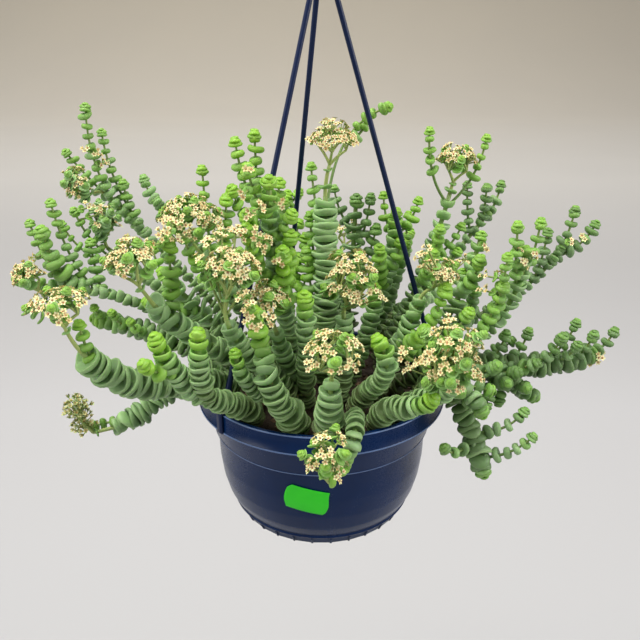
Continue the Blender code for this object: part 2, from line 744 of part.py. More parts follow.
def raise_floret(head, face, centre, normal, radius, turn):
    """Raise a five-petalled star from one face of the core, on a ray of the face's own section."""
    side = normal.orthogonal().normalized()
    across = normal.cross(side)
    corners = list(face.verts)
    head.faces.remove(face)
    rim = []
    for i in range(10):
        angle = turn + math.tau * i / 10
        reach = radius if i % 2 == 0 else radius * FLORET_WAIST
        lift = radius * (FLORET_LIFT if i % 2 == 0 else -0.05)
        offset = (side * math.cos(angle) + across * math.sin(angle)) * reach
        rim.append(head.verts.new(centre + offset + normal * lift))
    for i in range(1, 10, 2):
        head.faces.new([rim[i], rim[(i + 1) % 10], rim[(i + 2) % 10]])
    head.faces.new(rim[1::2])
    bearings = []
    for corner in corners:
        offset = corner.co - centre
        bearings.append(math.atan2(offset.dot(across), offset.dot(side)) - turn)
    nearest = [round(bearing / math.tau * 10) % 10 for bearing in bearings]
    for k in range(3):
        start, stop = nearest[k], nearest[(k + 1) % 3]
        i = start
        while i != stop:
            head.faces.new([corners[k], rim[(i + 1) % 10], rim[i]])
            i = (i + 1) % 10
        head.faces.new([corners[k], corners[(k + 1) % 3], rim[stop]])


def draw_out_stalk(head, face, foot, direction, bend):
    """Draw one face of the core out into a three-sided stalk down to foot."""
    corners = list(face.verts)
    middle = face.calc_center_median()
    head.faces.remove(face)
    upper = corners
    for point, heading, radius in ((bend, (middle - foot).normalized(), HEAD_STALK_RADIUS),
                                   (foot, direction, HEAD_STALK_RADIUS * 0.8)):
        ring_points = []
        for corner in corners:
            offset = corner.co - middle
            offset = offset - heading * offset.dot(heading)
            ring_points.append(head.verts.new(point + offset.normalized() * radius))
        for k in range(3):
            j = (k + 1) % 3
            head.faces.new([upper[k], upper[j], ring_points[j], ring_points[k]])
        upper = ring_points
    head.faces.new(upper)


def make_head(name, row, courses, collection, seed):
    """A domed head: a stalk from the stem's tip, a small core, and stars raised from its faces."""
    owner, branch, centre, half_width, half_height = row
    rng = random.Random(seed)
    points = courses[owner][branch]
    direction = (points[-1] - points[-2]).normalized()
    foot = points[-1] + direction * GAP
    centre = Vector(centre)
    axis = ((centre - foot).normalized() * 0.6 + Vector((0.0, 0.0, 1.0))).normalized()
    turn = Vector((0.0, 0.0, 1.0)).rotation_difference(axis).to_matrix()
    spin = Matrix.Rotation(rng.uniform(0.0, math.tau), 3, "Z") @ Matrix.Rotation(0.6, 3, "X")
    head = bmesh.new()
    bmesh.ops.create_icosphere(head, subdivisions=1, radius=1.0, matrix=spin.to_4x4())
    faces = sorted(head.faces, key=lambda face: -face.calc_center_median().z)
    unit = [face.calc_center_median().normalized() for face in faces]
    middle = centre - axis * half_height * CORE_DROP
    for vertex in head.verts:
        flat = vertex.co * CORE_SIZE
        vertex.co = middle + turn @ Vector((flat.x * half_width, flat.y * half_width, flat.z * half_height))
    radius = half_width * FLORET_SIZE
    count = FLORETS_BIG if half_width > BIG_HEAD else FLORETS_SMALL
    for face, aim in list(zip(faces, unit))[:count]:
        reach = rng.uniform(0.88, 1.0)
        spread = (half_width - radius * 0.4) * reach
        rise = (half_height * (1.0 + CORE_DROP) - radius * 0.3) * reach
        spot = middle + turn @ Vector((aim.x * spread, aim.y * spread, aim.z * rise))
        outward = (turn @ Vector((aim.x, aim.y, aim.z + 0.25))).normalized()
        raise_floret(head, face, spot, outward, radius * rng.uniform(0.88, 1.0), rng.uniform(0.0, 0.6))
    lowest = min((face for face in head.faces if len(face.verts) == 3 and face in faces[count:]),
                 key=lambda face: (face.calc_center_median() - foot).length)
    bend = foot.lerp(middle, 0.35) + direction * (middle - foot).length * 0.15
    draw_out_stalk(head, lowest, foot, direction, bend)
    return object_from_bmesh("flower_head_" + name, head, collection)


# Assembly

def build():
    clear_scene()
    parts = new_collection(MODEL)
    cutters = new_collection(MODEL + "_cutters")
    rim = bpy.data.objects.new("rim_centre", None)
    rim.location = (0.0, 0.0, -HANG_HEIGHT * MM)
    parts.objects.link(rim)

    navy = principled("navy_plastic", (0.012, 0.024, 0.085), 0.38)
    dark_navy = principled("dark_navy_plastic", (0.010, 0.018, 0.055), 0.42)
    earth = principled("potting_soil", (0.045, 0.028, 0.018), 0.95)
    paper = principled("green_paper", (0.06, 0.75, 0.05), 0.6)
    leaf = principled("fleshy_leaf", (0.10, 0.22, 0.05), 0.5)
    flower = principled("cream_flower", (0.62, 0.50, 0.34), 0.7)

    pot = make_pot(parts, cutters)
    saucer = make_saucer(parts)
    soil = make_soil(parts, cutters)
    sticker = make_sticker(parts)
    hanger = make_hanger(parts)
    for item, material in ((pot, navy), (saucer, dark_navy), (soil, earth), (sticker, paper),
                           (hanger, navy)):
        hang_from(item, rim, material)

    courses = {}
    for name, rows in STEMS.items():
        item, courses[name] = make_stem(name, rows, parts)
        hang_from(item, rim, leaf)
    for seed, (name, row) in enumerate(HEADS.items()):
        hang_from(make_head(name, row, courses, parts, seed), rim, flower)


build()
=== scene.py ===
# Looks for a potted crassula in a hanging pot: fleshy leaves stacked in crosswise pairs, heads of
# small star flowers, and a navy plastic pot with its saucer and hanger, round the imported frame.
# Lengths are in millimetres from the middle of the pot's rim, and become metres in each mesh.
# Only the floor, the lights and the camera are placed in metres, from the seat of the hook.
import json
import math
import random

import bpy
import numpy as np
from mathutils import Matrix, Vector

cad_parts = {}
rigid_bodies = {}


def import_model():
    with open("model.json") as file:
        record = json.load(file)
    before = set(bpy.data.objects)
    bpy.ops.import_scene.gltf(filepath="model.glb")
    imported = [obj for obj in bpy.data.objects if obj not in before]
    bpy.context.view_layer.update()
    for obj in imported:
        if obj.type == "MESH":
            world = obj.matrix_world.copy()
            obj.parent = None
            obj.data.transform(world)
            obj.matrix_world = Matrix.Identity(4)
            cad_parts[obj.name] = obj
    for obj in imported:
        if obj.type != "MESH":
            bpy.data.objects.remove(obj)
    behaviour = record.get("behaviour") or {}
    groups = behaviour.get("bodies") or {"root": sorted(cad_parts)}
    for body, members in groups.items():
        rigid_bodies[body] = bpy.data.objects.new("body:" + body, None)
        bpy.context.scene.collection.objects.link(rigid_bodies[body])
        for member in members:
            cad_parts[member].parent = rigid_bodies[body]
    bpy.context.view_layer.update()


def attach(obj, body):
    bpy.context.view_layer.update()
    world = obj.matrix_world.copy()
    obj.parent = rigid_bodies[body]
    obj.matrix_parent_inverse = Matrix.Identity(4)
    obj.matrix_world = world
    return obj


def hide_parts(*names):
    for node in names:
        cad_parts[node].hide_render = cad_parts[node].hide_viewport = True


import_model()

mm = 0.001
rimHeight = -272.0            # of the rim, against the seat of the hook
soilTop = -9.0
up = Vector((0.0, 0.0, 1.0))
spiralStep = 2.39996          # radians from one flower of a spiral to the next


# Shader maths

class Wire:
    # one output socket, so that a shader's sums read as plain sums
    def __init__(self, look, socket):
        self.look, self.socket = look, socket

    def sum(self, operation, first, second, clamp=False):
        settings = {"operation": operation, "use_clamp": clamp}
        return self.look.node("ShaderNodeMath", settings, {0: first, 1: second})

    def __add__(self, other):
        return self.sum("ADD", self, other)

    def __radd__(self, other):
        return self.sum("ADD", other, self)

    def __sub__(self, other):
        return self.sum("SUBTRACT", self, other)

    def __rsub__(self, other):
        return self.sum("SUBTRACT", other, self)

    def __mul__(self, other):
        return self.sum("MULTIPLY", self, other)

    def __rmul__(self, other):
        return self.sum("MULTIPLY", other, self)

    def __pow__(self, other):
        return self.sum("POWER", self, other)

    def held(self):
        # kept between 0 and 1
        return self.sum("ADD", self, 0.0, clamp=True)


class Look:
    # a material with its Principled shader, and one method that adds any other node
    def __init__(self, name, **fixed):
        self.material = bpy.data.materials.new(name)
        self.material.use_nodes = True
        self.tree = self.material.node_tree
        self.shader = self.tree.nodes["Principled BSDF"]
        for socket, value in fixed.items():
            self.feed(socket.replace("_", " "), value)

    def node(self, kind, settings=None, inputs=None, output=0):
        made = self.tree.nodes.new(kind)
        for key, value in (settings or {}).items():
            if key == "stops":
                ends = made.color_ramp.elements
                ends[0].position, ends[0].color = value[0]
                ends[1].position, ends[1].color = value[-1]
                for place, colour in value[1:-1]:
                    made.color_ramp.elements.new(place).color = colour
            else:
                setattr(made, key, value)
        for key, value in (inputs or {}).items():
            self.join(made.inputs[key], value)
        return Wire(self, made.outputs[output])

    def join(self, socket, value):
        if isinstance(value, Wire):
            self.tree.links.new(value.socket, socket)
        else:
            socket.default_value = value

    def feed(self, name, value):
        self.join(self.shader.inputs[name], value)

    def mix(self, factor, first, second):
        return self.node("ShaderNodeMix", {"data_type": "RGBA"}, {0: factor, 6: first, 7: second}, 2)

    def ramp(self, value, *stops):
        return self.node("ShaderNodeValToRGB", {"stops": stops}, {0: value})

    def painted(self, name):
        return self.node("ShaderNodeAttribute", {"attribute_name": name}, {}, 2)

    def place(self):
        return self.node("ShaderNodeTexCoord", {}, {}, 3)

    def noise(self, scale, detail=3.0, stretch=None):
        where = self.place()
        if stretch:
            where = self.node("ShaderNodeVectorMath", {"operation": "MULTIPLY"}, {0: where, 1: stretch})
        return self.node("ShaderNodeTexNoise", {}, {"Vector": where, "Scale": scale, "Detail": detail})

    def spread(self, value, low, high):
        return self.node("ShaderNodeMapRange", {"clamp": True}, {0: value, 1: low, 2: high})

    def bump(self, height, strength, distance):
        sockets = {"Height": height, "Strength": strength, "Distance": distance}
        self.feed("Normal", self.node("ShaderNodeBump", {}, sockets))


def tint(*screenColour):
    # a colour as seen on a screen, 0 to 255, turned into the renderer's scale
    return tuple(((c / 255 + 0.055) / 1.055) ** 2.4 if c > 10 else c / 3295 for c in screenColour) + (1.0,)


# Meshes

class Skin:
    # gathers points, faces and painted values, then makes one mesh piece of them
    def __init__(self):
        self.points, self.faces, self.slots = [], [], []
        self.painted = {"age": [], "rim": [], "tone": []}
        self.count = 0

    def add(self, points, faces, slot=0, age=0.5, rim=0.0, tone=0.5):
        points = np.array(points, float).reshape(-1, 3)
        faces = np.asarray(faces, int)
        self.points.append(points)
        self.faces.append(faces + self.count)
        self.slots.append(np.full(len(faces), slot))
        for name, value in (("age", age), ("rim", rim), ("tone", tone)):
            self.painted[name].append(np.broadcast_to(np.asarray(value, float), len(points)))
        self.count += len(points)

    def make(self, name, looks, smooth=True):
        points = (np.concatenate(self.points) + (0.0, 0.0, rimHeight)) * mm
        faces = [face for block in self.faces for face in block.tolist()]
        mesh = bpy.data.meshes.new(name)
        mesh.from_pydata(points.tolist(), [], faces)
        mesh.polygons.foreach_set("material_index", np.concatenate(self.slots))
        mesh.polygons.foreach_set("use_smooth", np.full(len(faces), smooth))
        for key, blocks in self.painted.items():
            layer = mesh.attributes.new(key, "FLOAT", "POINT")
            layer.data.foreach_set("value", np.concatenate(blocks))
        for look in looks:
            mesh.materials.append(look.material)
        mesh.update()
        piece = bpy.data.objects.new(name, mesh)
        bpy.context.scene.collection.objects.link(piece)
        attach(piece, "root")
        return piece


def bands(rows, around, closed=True):
    # the quads between rows of points that go round, as indices
    steps = np.arange(around if closed else around - 1)
    row, step = np.meshgrid(np.arange(rows - 1), steps, indexing="ij")
    after = (step + 1) % around
    quads = [row * around + step, row * around + after, (row + 1) * around + after, (row + 1) * around + step]
    return np.stack(quads, axis=-1).reshape(-1, 4)


def tube(skin, points, radii, sides, slot=0, **values):
    # a round stalk along points, closed with a small tip at its far end
    points = [Vector(point) for point in points]
    side = Vector((1.0, 0.0, 0.0))
    rings = []
    angles = np.linspace(0.0, math.tau, sides, endpoint=False)
    for index, point in enumerate(points):
        before, after = points[max(index - 1, 0)], points[min(index + 1, len(points) - 1)]
        heading = (after - before).normalized()
        if abs(side.dot(heading)) > 0.95:
            side = Vector((0.0, 1.0, 0.0))
        side = squareTo(side, heading)
        ring = np.outer(np.cos(angles), side) + np.outer(np.sin(angles), heading.cross(side))
        rings.append(np.array(point) + ring * radii[index])
    rings.append(np.repeat(np.array(points[-1])[None, :], sides, axis=0))
    skin.add(np.concatenate(rings), bands(len(rings), sides), slot, **values)


def lathe(skin, profile, around, slot=0):
    # a profile of (radius, height) turned about the pot's axis
    profile = np.asarray(profile, float)
    angles = np.linspace(0.0, math.tau, around, endpoint=False)
    x = profile[:, 0, None] * np.cos(angles)
    y = profile[:, 0, None] * np.sin(angles)
    z = np.repeat(profile[:, 1, None], around, axis=1)
    skin.add(np.stack([x, y, z], axis=-1), bands(len(profile), around), slot)


def squareTo(side, heading):
    # the part of a direction that is square to a heading
    return (side - heading * side.dot(heading)).normalized()


def swing(side, across, angle):
    # the direction at an angle from one direction towards another
    return side * math.cos(angle) + across * math.sin(angle)


def polar(radius, angle, height):
    # the point at an angle about the pot's axis
    return Vector((radius * math.cos(angle), radius * math.sin(angle), height))


def bezier(points, share):
    # the point at a share of the smooth curve that a few points steer
    points = [Vector(point) for point in points]
    while len(points) > 1:
        points = [a.lerp(b, share) for a, b in zip(points, points[1:])]
    return points[0]


def bowed(points, steps):
    return [bezier(points, i / steps) for i in range(steps + 1)]


def along(points, distance):
    # point and heading at a distance along a list of points
    for a, b in zip(points, points[1:]):
        step = (b - a).length
        if distance <= step:
            return a.lerp(b, distance / step), (b - a).normalized()
        distance -= step
    return points[-1].copy(), (points[-1] - points[-2]).normalized()


def rounded(corners, radius, steps):
    # a profile with each inner corner rounded off
    corners = [Vector(corner) for corner in corners]
    smooth = [tuple(corners[0])]
    for before, corner, after in zip(corners, corners[1:], corners[2:]):
        back, on = before - corner, after - corner
        reach = min(radius, back.length * 0.45, on.length * 0.45)
        first, last = corner + back.normalized() * reach, corner + on.normalized() * reach
        smooth += [tuple(point) for point in bowed([first, corner, last], steps)]
    return smooth + [tuple(corners[-1])]


# Leaves

leafShapes = {
    # width against length, how pointed (2 is an oval, less is more pointed), how far the tips lift
    # and the sides sag against length, the notch where the two leaves meet, and the section from
    # the middle to the margin and back underneath: share of the length, height in thicknesses,
    # nearness to the margin
    "disc": {
        "width": 0.9, "point": 1.9, "lift": 0.2, "sag": 0.06, "notch": 0.05, "seam": 0.16,
        "section": ((0.22, 0.16, 0.0), (0.58, 0.16, 0.1), (0.84, 0.38, 0.5), (0.965, 0.44, 0.95),
                    (1.0, 0.22, 1.0), (0.97, -0.06, 0.6), (0.76, -0.38, 0.08), (0.22, -0.46, 0.0)),
    },
    "oval": {
        "width": 0.8, "point": 1.75, "lift": 0.14, "sag": 0.0, "notch": 0.06, "seam": 0.14,
        "section": ((0.2, 0.34, 0.0), (0.45, 0.40, 0.1), (0.68, 0.42, 0.25), (0.85, 0.34, 0.5),
                    (0.96, 0.14, 0.85), (1.0, -0.06, 1.0), (0.97, -0.24, 0.6), (0.84, -0.4, 0.2),
                    (0.6, -0.5, 0.0), (0.2, -0.46, 0.0)),
    },
    "paddle": {
        "width": 0.48, "point": 2.1, "lift": 0.1, "sag": 0.0, "notch": 0.2, "seam": 0.1,
        "section": ((0.16, 0.2, 0.0), (0.42, 0.26, 0.1), (0.66, 0.36, 0.25), (0.85, 0.36, 0.5),
                    (0.96, 0.16, 0.85), (1.0, -0.06, 1.0), (0.97, -0.26, 0.6), (0.84, -0.44, 0.2),
                    (0.6, -0.54, 0.0), (0.16, -0.4, 0.0)),
    },
    "bud": {
        "width": 0.94, "point": 2.2, "lift": 0.06, "sag": 0.05, "notch": 0.08, "seam": 0.24,
        "section": ((0.12, 0.62, 0.3), (0.4, 0.60, 0.3), (0.66, 0.46, 0.4), (0.86, 0.26, 0.6),
                    (0.97, 0.04, 0.8), (1.0, -0.12, 0.7), (0.95, -0.28, 0.4), (0.8, -0.42, 0.1),
                    (0.5, -0.5, 0.0), (0.12, -0.5, 0.0)),
    },
}
leafChance = {
    # how far a pair may stray from the regular shape
    "turn": 9.0,              # degrees about the stem
    "lean": 0.09,
    "longer": 0.08,           # one leaf of the pair against the other
    "higher": 0.35,
    "wavy": 0.03,
    "tone": 0.8,
}


def leafPair(skin, spot, heading, side, rng, length, thick, shape="disc", age=0.5, stray=1.0,
             around=20, lift=None, dark=0.0):
    # two fleshy leaves joined round the stem
    form, chance = leafShapes[shape], leafChance
    turn = Matrix.Rotation(math.radians(rng.gauss(0.0, chance["turn"] * stray)), 3, heading)
    side = turn @ side
    across = heading.cross(side)
    lean = chance["lean"] * stray
    heading = (heading + side * rng.gauss(0.0, lean) + across * rng.gauss(0.0, lean)).normalized()
    side = squareTo(side, heading)
    across = heading.cross(side)
    angle = np.linspace(0.0, math.tau, around, endpoint=False)
    c, s = np.cos(angle), np.sin(angle)
    power = form["point"]
    outline = (np.abs(c) / length) ** power + (np.abs(s) / (length * form["width"])) ** power
    longer = rng.uniform(-chance["longer"], chance["longer"]) * c * stray
    # an oval, drawn in where the two leaves meet and a little wavy
    reach = outline ** (-1.0 / power) * (1 + longer - form["notch"] * np.abs(s) ** 8)
    reach = reach * (1 + chance["wavy"] * stray * np.sin(2 * angle + rng.uniform(0, 6)))
    share, high, edge = np.array(form["section"]).T[:, :, None]
    higher = 1 + rng.uniform(-chance["higher"], chance["higher"]) * c * stray
    lift = (form["lift"] if lift is None else lift) * length * higher
    # the tips rise, the sides sag, and a seam runs across between the leaves
    height = high * thick + share ** 1.7 * (lift * c ** 2 - form["sag"] * length * s ** 2)
    seam = form["seam"] * thick * np.exp(-(c / 0.2) ** 2) * np.sin(share * 3.0)
    height = height - np.where(high > 0, seam, 0)
    radius = share * reach
    points = (np.array(spot) + (radius * c)[..., None] * np.array(side)
              + (radius * s)[..., None] * np.array(across) + height[..., None] * np.array(heading))
    skin.add(points, bands(len(share), around), 0, age=age,
             rim=np.broadcast_to(edge, radius.shape).ravel(), tone=chance["tone"] * rng.random() + dark)


def bun(skin, spot, heading, side, rng, size, age, dark=0.0):
    # the plump young tip of a shoot: crosswise pairs closed over one another
    for share, place, deep in ((1.0, 0.0, 0.72), (0.9, 0.46, 0.7), (0.6, 0.84, 0.62)):
        leafPair(skin, spot + heading * (place * size), heading, side, rng, size * share,
                 size * share * deep, "bud", age, 0.45, 16, dark=dark)
        age = max(0.0, age - 0.05)
        side = heading.cross(side)


def smallLeaf(skin, spot, facing, side, rng, length, age):
    # a thin little pair, on a flower stalk
    leafPair(skin, spot, facing, side, rng, length, length * 0.42, "oval", age, 1.5, 12, 0.3)


# Stems

stemForm = {
    "steps": 60,              # of a stem's course
    "stalk": 2.2,             # bare stem inside the leaves
    "shootStalk": 0.6,
    "pitchLow": 2.6,          # from one pair to the next at a thick stem's foot
    "pitchHigh": 5.2,         # and near its tip
    "shootPitch": 6.3,
    "headGap": 3.5,           # bare stalk below a flower head
    "tipGap": 0.9,            # from the last pair to the tip, in leaf lengths
    "shootTipGap": 0.5,
    "young": 16.0,            # length of tip over which the leaves turn young
    "rise": (0.75, 0.75, 0.25),    # a shoot goes out first, and then up
}
plainManner = {
    # the leaves' age at the foot, up the stem and at the tip, from 0 for lime to 1 for brown, then the
    # pairs' spacing, thickness and lift, and how much a stem thins and darkens
    "old": 0.92, "fresh": 0.5, "young": 0.1, "pitch": 1.0, "thick": 1.04, "lift": 0.2, "shape": "disc",
    "slim": 0.0, "dark": 0.0,
}
manners = {
    # stems that differ from the plain manner: dark and open at the back, lime in front
    "dark_back": {"young": 0.34, "pitch": 1.5, "thick": 0.56, "dark": 0.6},
    "right_long": {"young": 0.36, "fresh": 0.62, "pitch": 0.9, "dark": 0.75},
    "right_droop": {"young": 0.4, "fresh": 0.6, "dark": 0.4},
    "right_short": {"young": 0.3, "fresh": 0.6, "dark": 0.5},
    "left_high": {"young": 0.28, "pitch": 1.4, "thick": 0.66, "slim": 0.3, "dark": 0.2},
    "left_spray": {"young": 0.24, "pitch": 1.15, "slim": 0.35, "dark": 0.1},
    "left_mid": {"dark": 0.4},
    "back_left_high": {"young": 0.42, "pitch": 1.6, "shape": "paddle", "lift": -0.1, "dark": 0.2},
    "back_right_high": {"young": 0.34, "pitch": 1.5, "thick": 0.6, "slim": 0.2, "dark": 0.7},
    "right_far": {"young": 0.34, "pitch": 1.3, "thick": 0.7, "slim": 0.2, "dark": 0.65},
    "right_up": {"young": 0.2, "pitch": 1.4, "thick": 0.66, "slim": 0.15, "dark": 0.1},
    "left_low": {"pitch": 0.75, "old": 0.8, "dark": 0.3},
    "left_up": {"lift": 0.4, "pitch": 1.25},
    "left_back": {"lift": 0.4, "shape": "paddle", "pitch": 1.3},
    "left_long": {"old": 0.8},
    "up_left": {"pitch": 1.2},
    "bright_shoots": {"young": 0.05, "fresh": 0.3, "pitch": 1.3, "thick": 0.7},
    "bright_front": {"young": 0.05, "fresh": 0.34, "pitch": 1.3, "thick": 0.7},
    "front_left": {"young": 0.3, "bud": 0.0},
    "front_right_up": {"young": 0.02},
    "centre_fork": {"young": 0.05, "pitch": 1.1},
    "front_left_low": {"young": 0.0, "fresh": 0.4},
    "lime_right": {"young": 0.08, "fresh": 0.4, "pitch": 1.2},
    "high_right": {"young": 0.16, "pitch": 1.5, "fresh": 0.4, "thick": 0.7},
    "front_right": {"young": 0.0},
    "tall_centre": {"young": 0.2, "old": 0.8, "pitch": 0.84, "thick": 1.3, "dark": -0.5},
    "front_droop": {"slim": 0.3},
    "pale_right": {"fresh": 0.4},
    "centre_right": {"dark": 0.2},
}


def course(row, done):
    # the centre line of a stem, a fork or a shoot
    if "root" in row:
        x, y = row["root"]
        controls = [(x, y, soilTop), (x * 1.2, y * 1.2, soilTop + row["lift"]), row["bend"], row["tip"]]
    else:
        start = done[row["parent"]][round(row["at"] * stemForm["steps"])]
        rise = [(b - a) * share for a, b, share in zip(start, row["tip"], stemForm["rise"])]
        controls = [start, row["bend"] or start + Vector(rise), row["tip"]]
    return bowed(controls, stemForm["steps"])


def shootPair(row, share, left, young, rng):
    # the distance to a small shoot's next pair, and the measures of this one
    leaf = row["high"] * (1.0 + 0.3 * math.sin(math.pi * min(1.0, share * 1.2)))
    pitch = stemForm["shootPitch"] * rng.uniform(0.85, 1.15)
    if left < 6:                                          # the last pair sits close below the tip
        leaf, pitch = row["high"] * 1.12, max(left, 3.4)
    length = leaf * rng.uniform(0.85, 1.2)
    age = young + 0.2 * (1 - share) + rng.uniform(-0.08, 0.08)
    return pitch, (length, leaf * 0.9, "oval", age, 1.6, 14, None)


def stemPair(row, number, share, left, young, rng, manner):
    # the distance to a thick stem's next pair, and the measures of this one
    leaf = row["low"] + (row["high"] - row["low"]) * share
    early = min(1.0, 0.8 + 0.05 * number if "root" in row else 0.6 + 0.15 * number)
    late = 1.0 if left > 12 else 0.8 + 0.0167 * left      # the first and last pairs are smaller
    pitch = stemForm["pitchLow"] + (stemForm["pitchHigh"] - stemForm["pitchLow"]) * share ** 1.4
    pitch = pitch * manner["pitch"]
    age = manner["old"] + (manner["fresh"] - manner["old"]) * share ** 0.7
    if left < stemForm["young"] and not row["carries"]:
        age = age + (young - age) * (1 - left / stemForm["young"])
    size = leaf * early * late * rng.uniform(0.91, 1.08) * (1 - manner["slim"] * share)
    age = age + rng.uniform(-0.06, 0.06)
    if manner["shape"] == "paddle" and share > 0.35:
        return pitch, (size * 1.5, 2.7, "paddle", age, 1.4, 18, manner["lift"])
    around = 20 if leaf > 6 else 16
    return pitch, (size, pitch * manner["thick"], "disc", age, 1.3, around, manner["lift"])


def leafyPiece(skin, row, points, rng, manner):
    # the stalk of a stem, fork or shoot, its leaf pairs from foot to tip, and its young tip
    small, carries, dark = "bare" in row, row["carries"], manner["dark"]
    total = sum((b - a).length for a, b in zip(points, points[1:]))
    young = manner.get("bud", manner["young"]) if small else manner["young"]
    gap = row["high"] * stemForm["shootTipGap" if small else "tipGap"]
    end = total - (stemForm["headGap"] if carries else gap)
    samples = [along(points, (end + (2.0 if carries else 0.0)) * i / 15)[0] for i in range(16)]
    thick, thin = (1.6, 1.0) if small else (1.0, 0.6)
    stalk = stemForm["shootStalk"] if small else stemForm["stalk"]
    tube(skin, samples, np.linspace(stalk * thick, stalk * thin, 16), 8, 1,
         age=np.repeat(np.linspace(0.5 if small else 0.9, 0.2, 17), 8))
    distance = max(3.0, total * row["bare"]) if small else (4.0 if "root" in row else 3.0)
    number = 0
    side = Vector((1.0, 0.0, 0.0))
    while distance < end:
        share, left = distance / total, end - distance
        if small:
            pitch, measures = shootPair(row, share, left, young, rng)
        else:
            pitch, measures = stemPair(row, number, share, left, young, rng, manner)
        spot, heading = along(points, distance)
        side = squareTo(side, heading)
        leafPair(skin, spot, heading, heading.cross(side) if number % 2 else side, rng, *measures, dark)
        distance += pitch
        number += 1
    if not carries:
        spot, heading = along(points, end)
        side = squareTo(side, heading)
        size = row["high"] * (1.0 if small else 0.8 * (1 - manner["slim"]))
        bun(skin, spot, heading, heading.cross(side) if number % 2 else side, rng, size, young,
            max(0.0, dark - 0.1))


# The plant's courses: a stem stands in the soil, a fork leaves its parent, a shoot is small

def stem(root, bend, tip, low, high, lift=24):
    return {"root": root, "bend": Vector(bend), "tip": tip, "low": low, "high": high, "lift": lift}


def fork(at, bend, tip, low, high, parent=0):
    return {"at": at, "bend": Vector(bend), "tip": tip, "low": low, "high": high, "parent": parent}


def shoot(at, tip, high=3.6, parent=0, bend=None, bare=0.0):
    return {"at": at, "bend": bend, "tip": tip, "high": high, "parent": parent, "bare": bare}


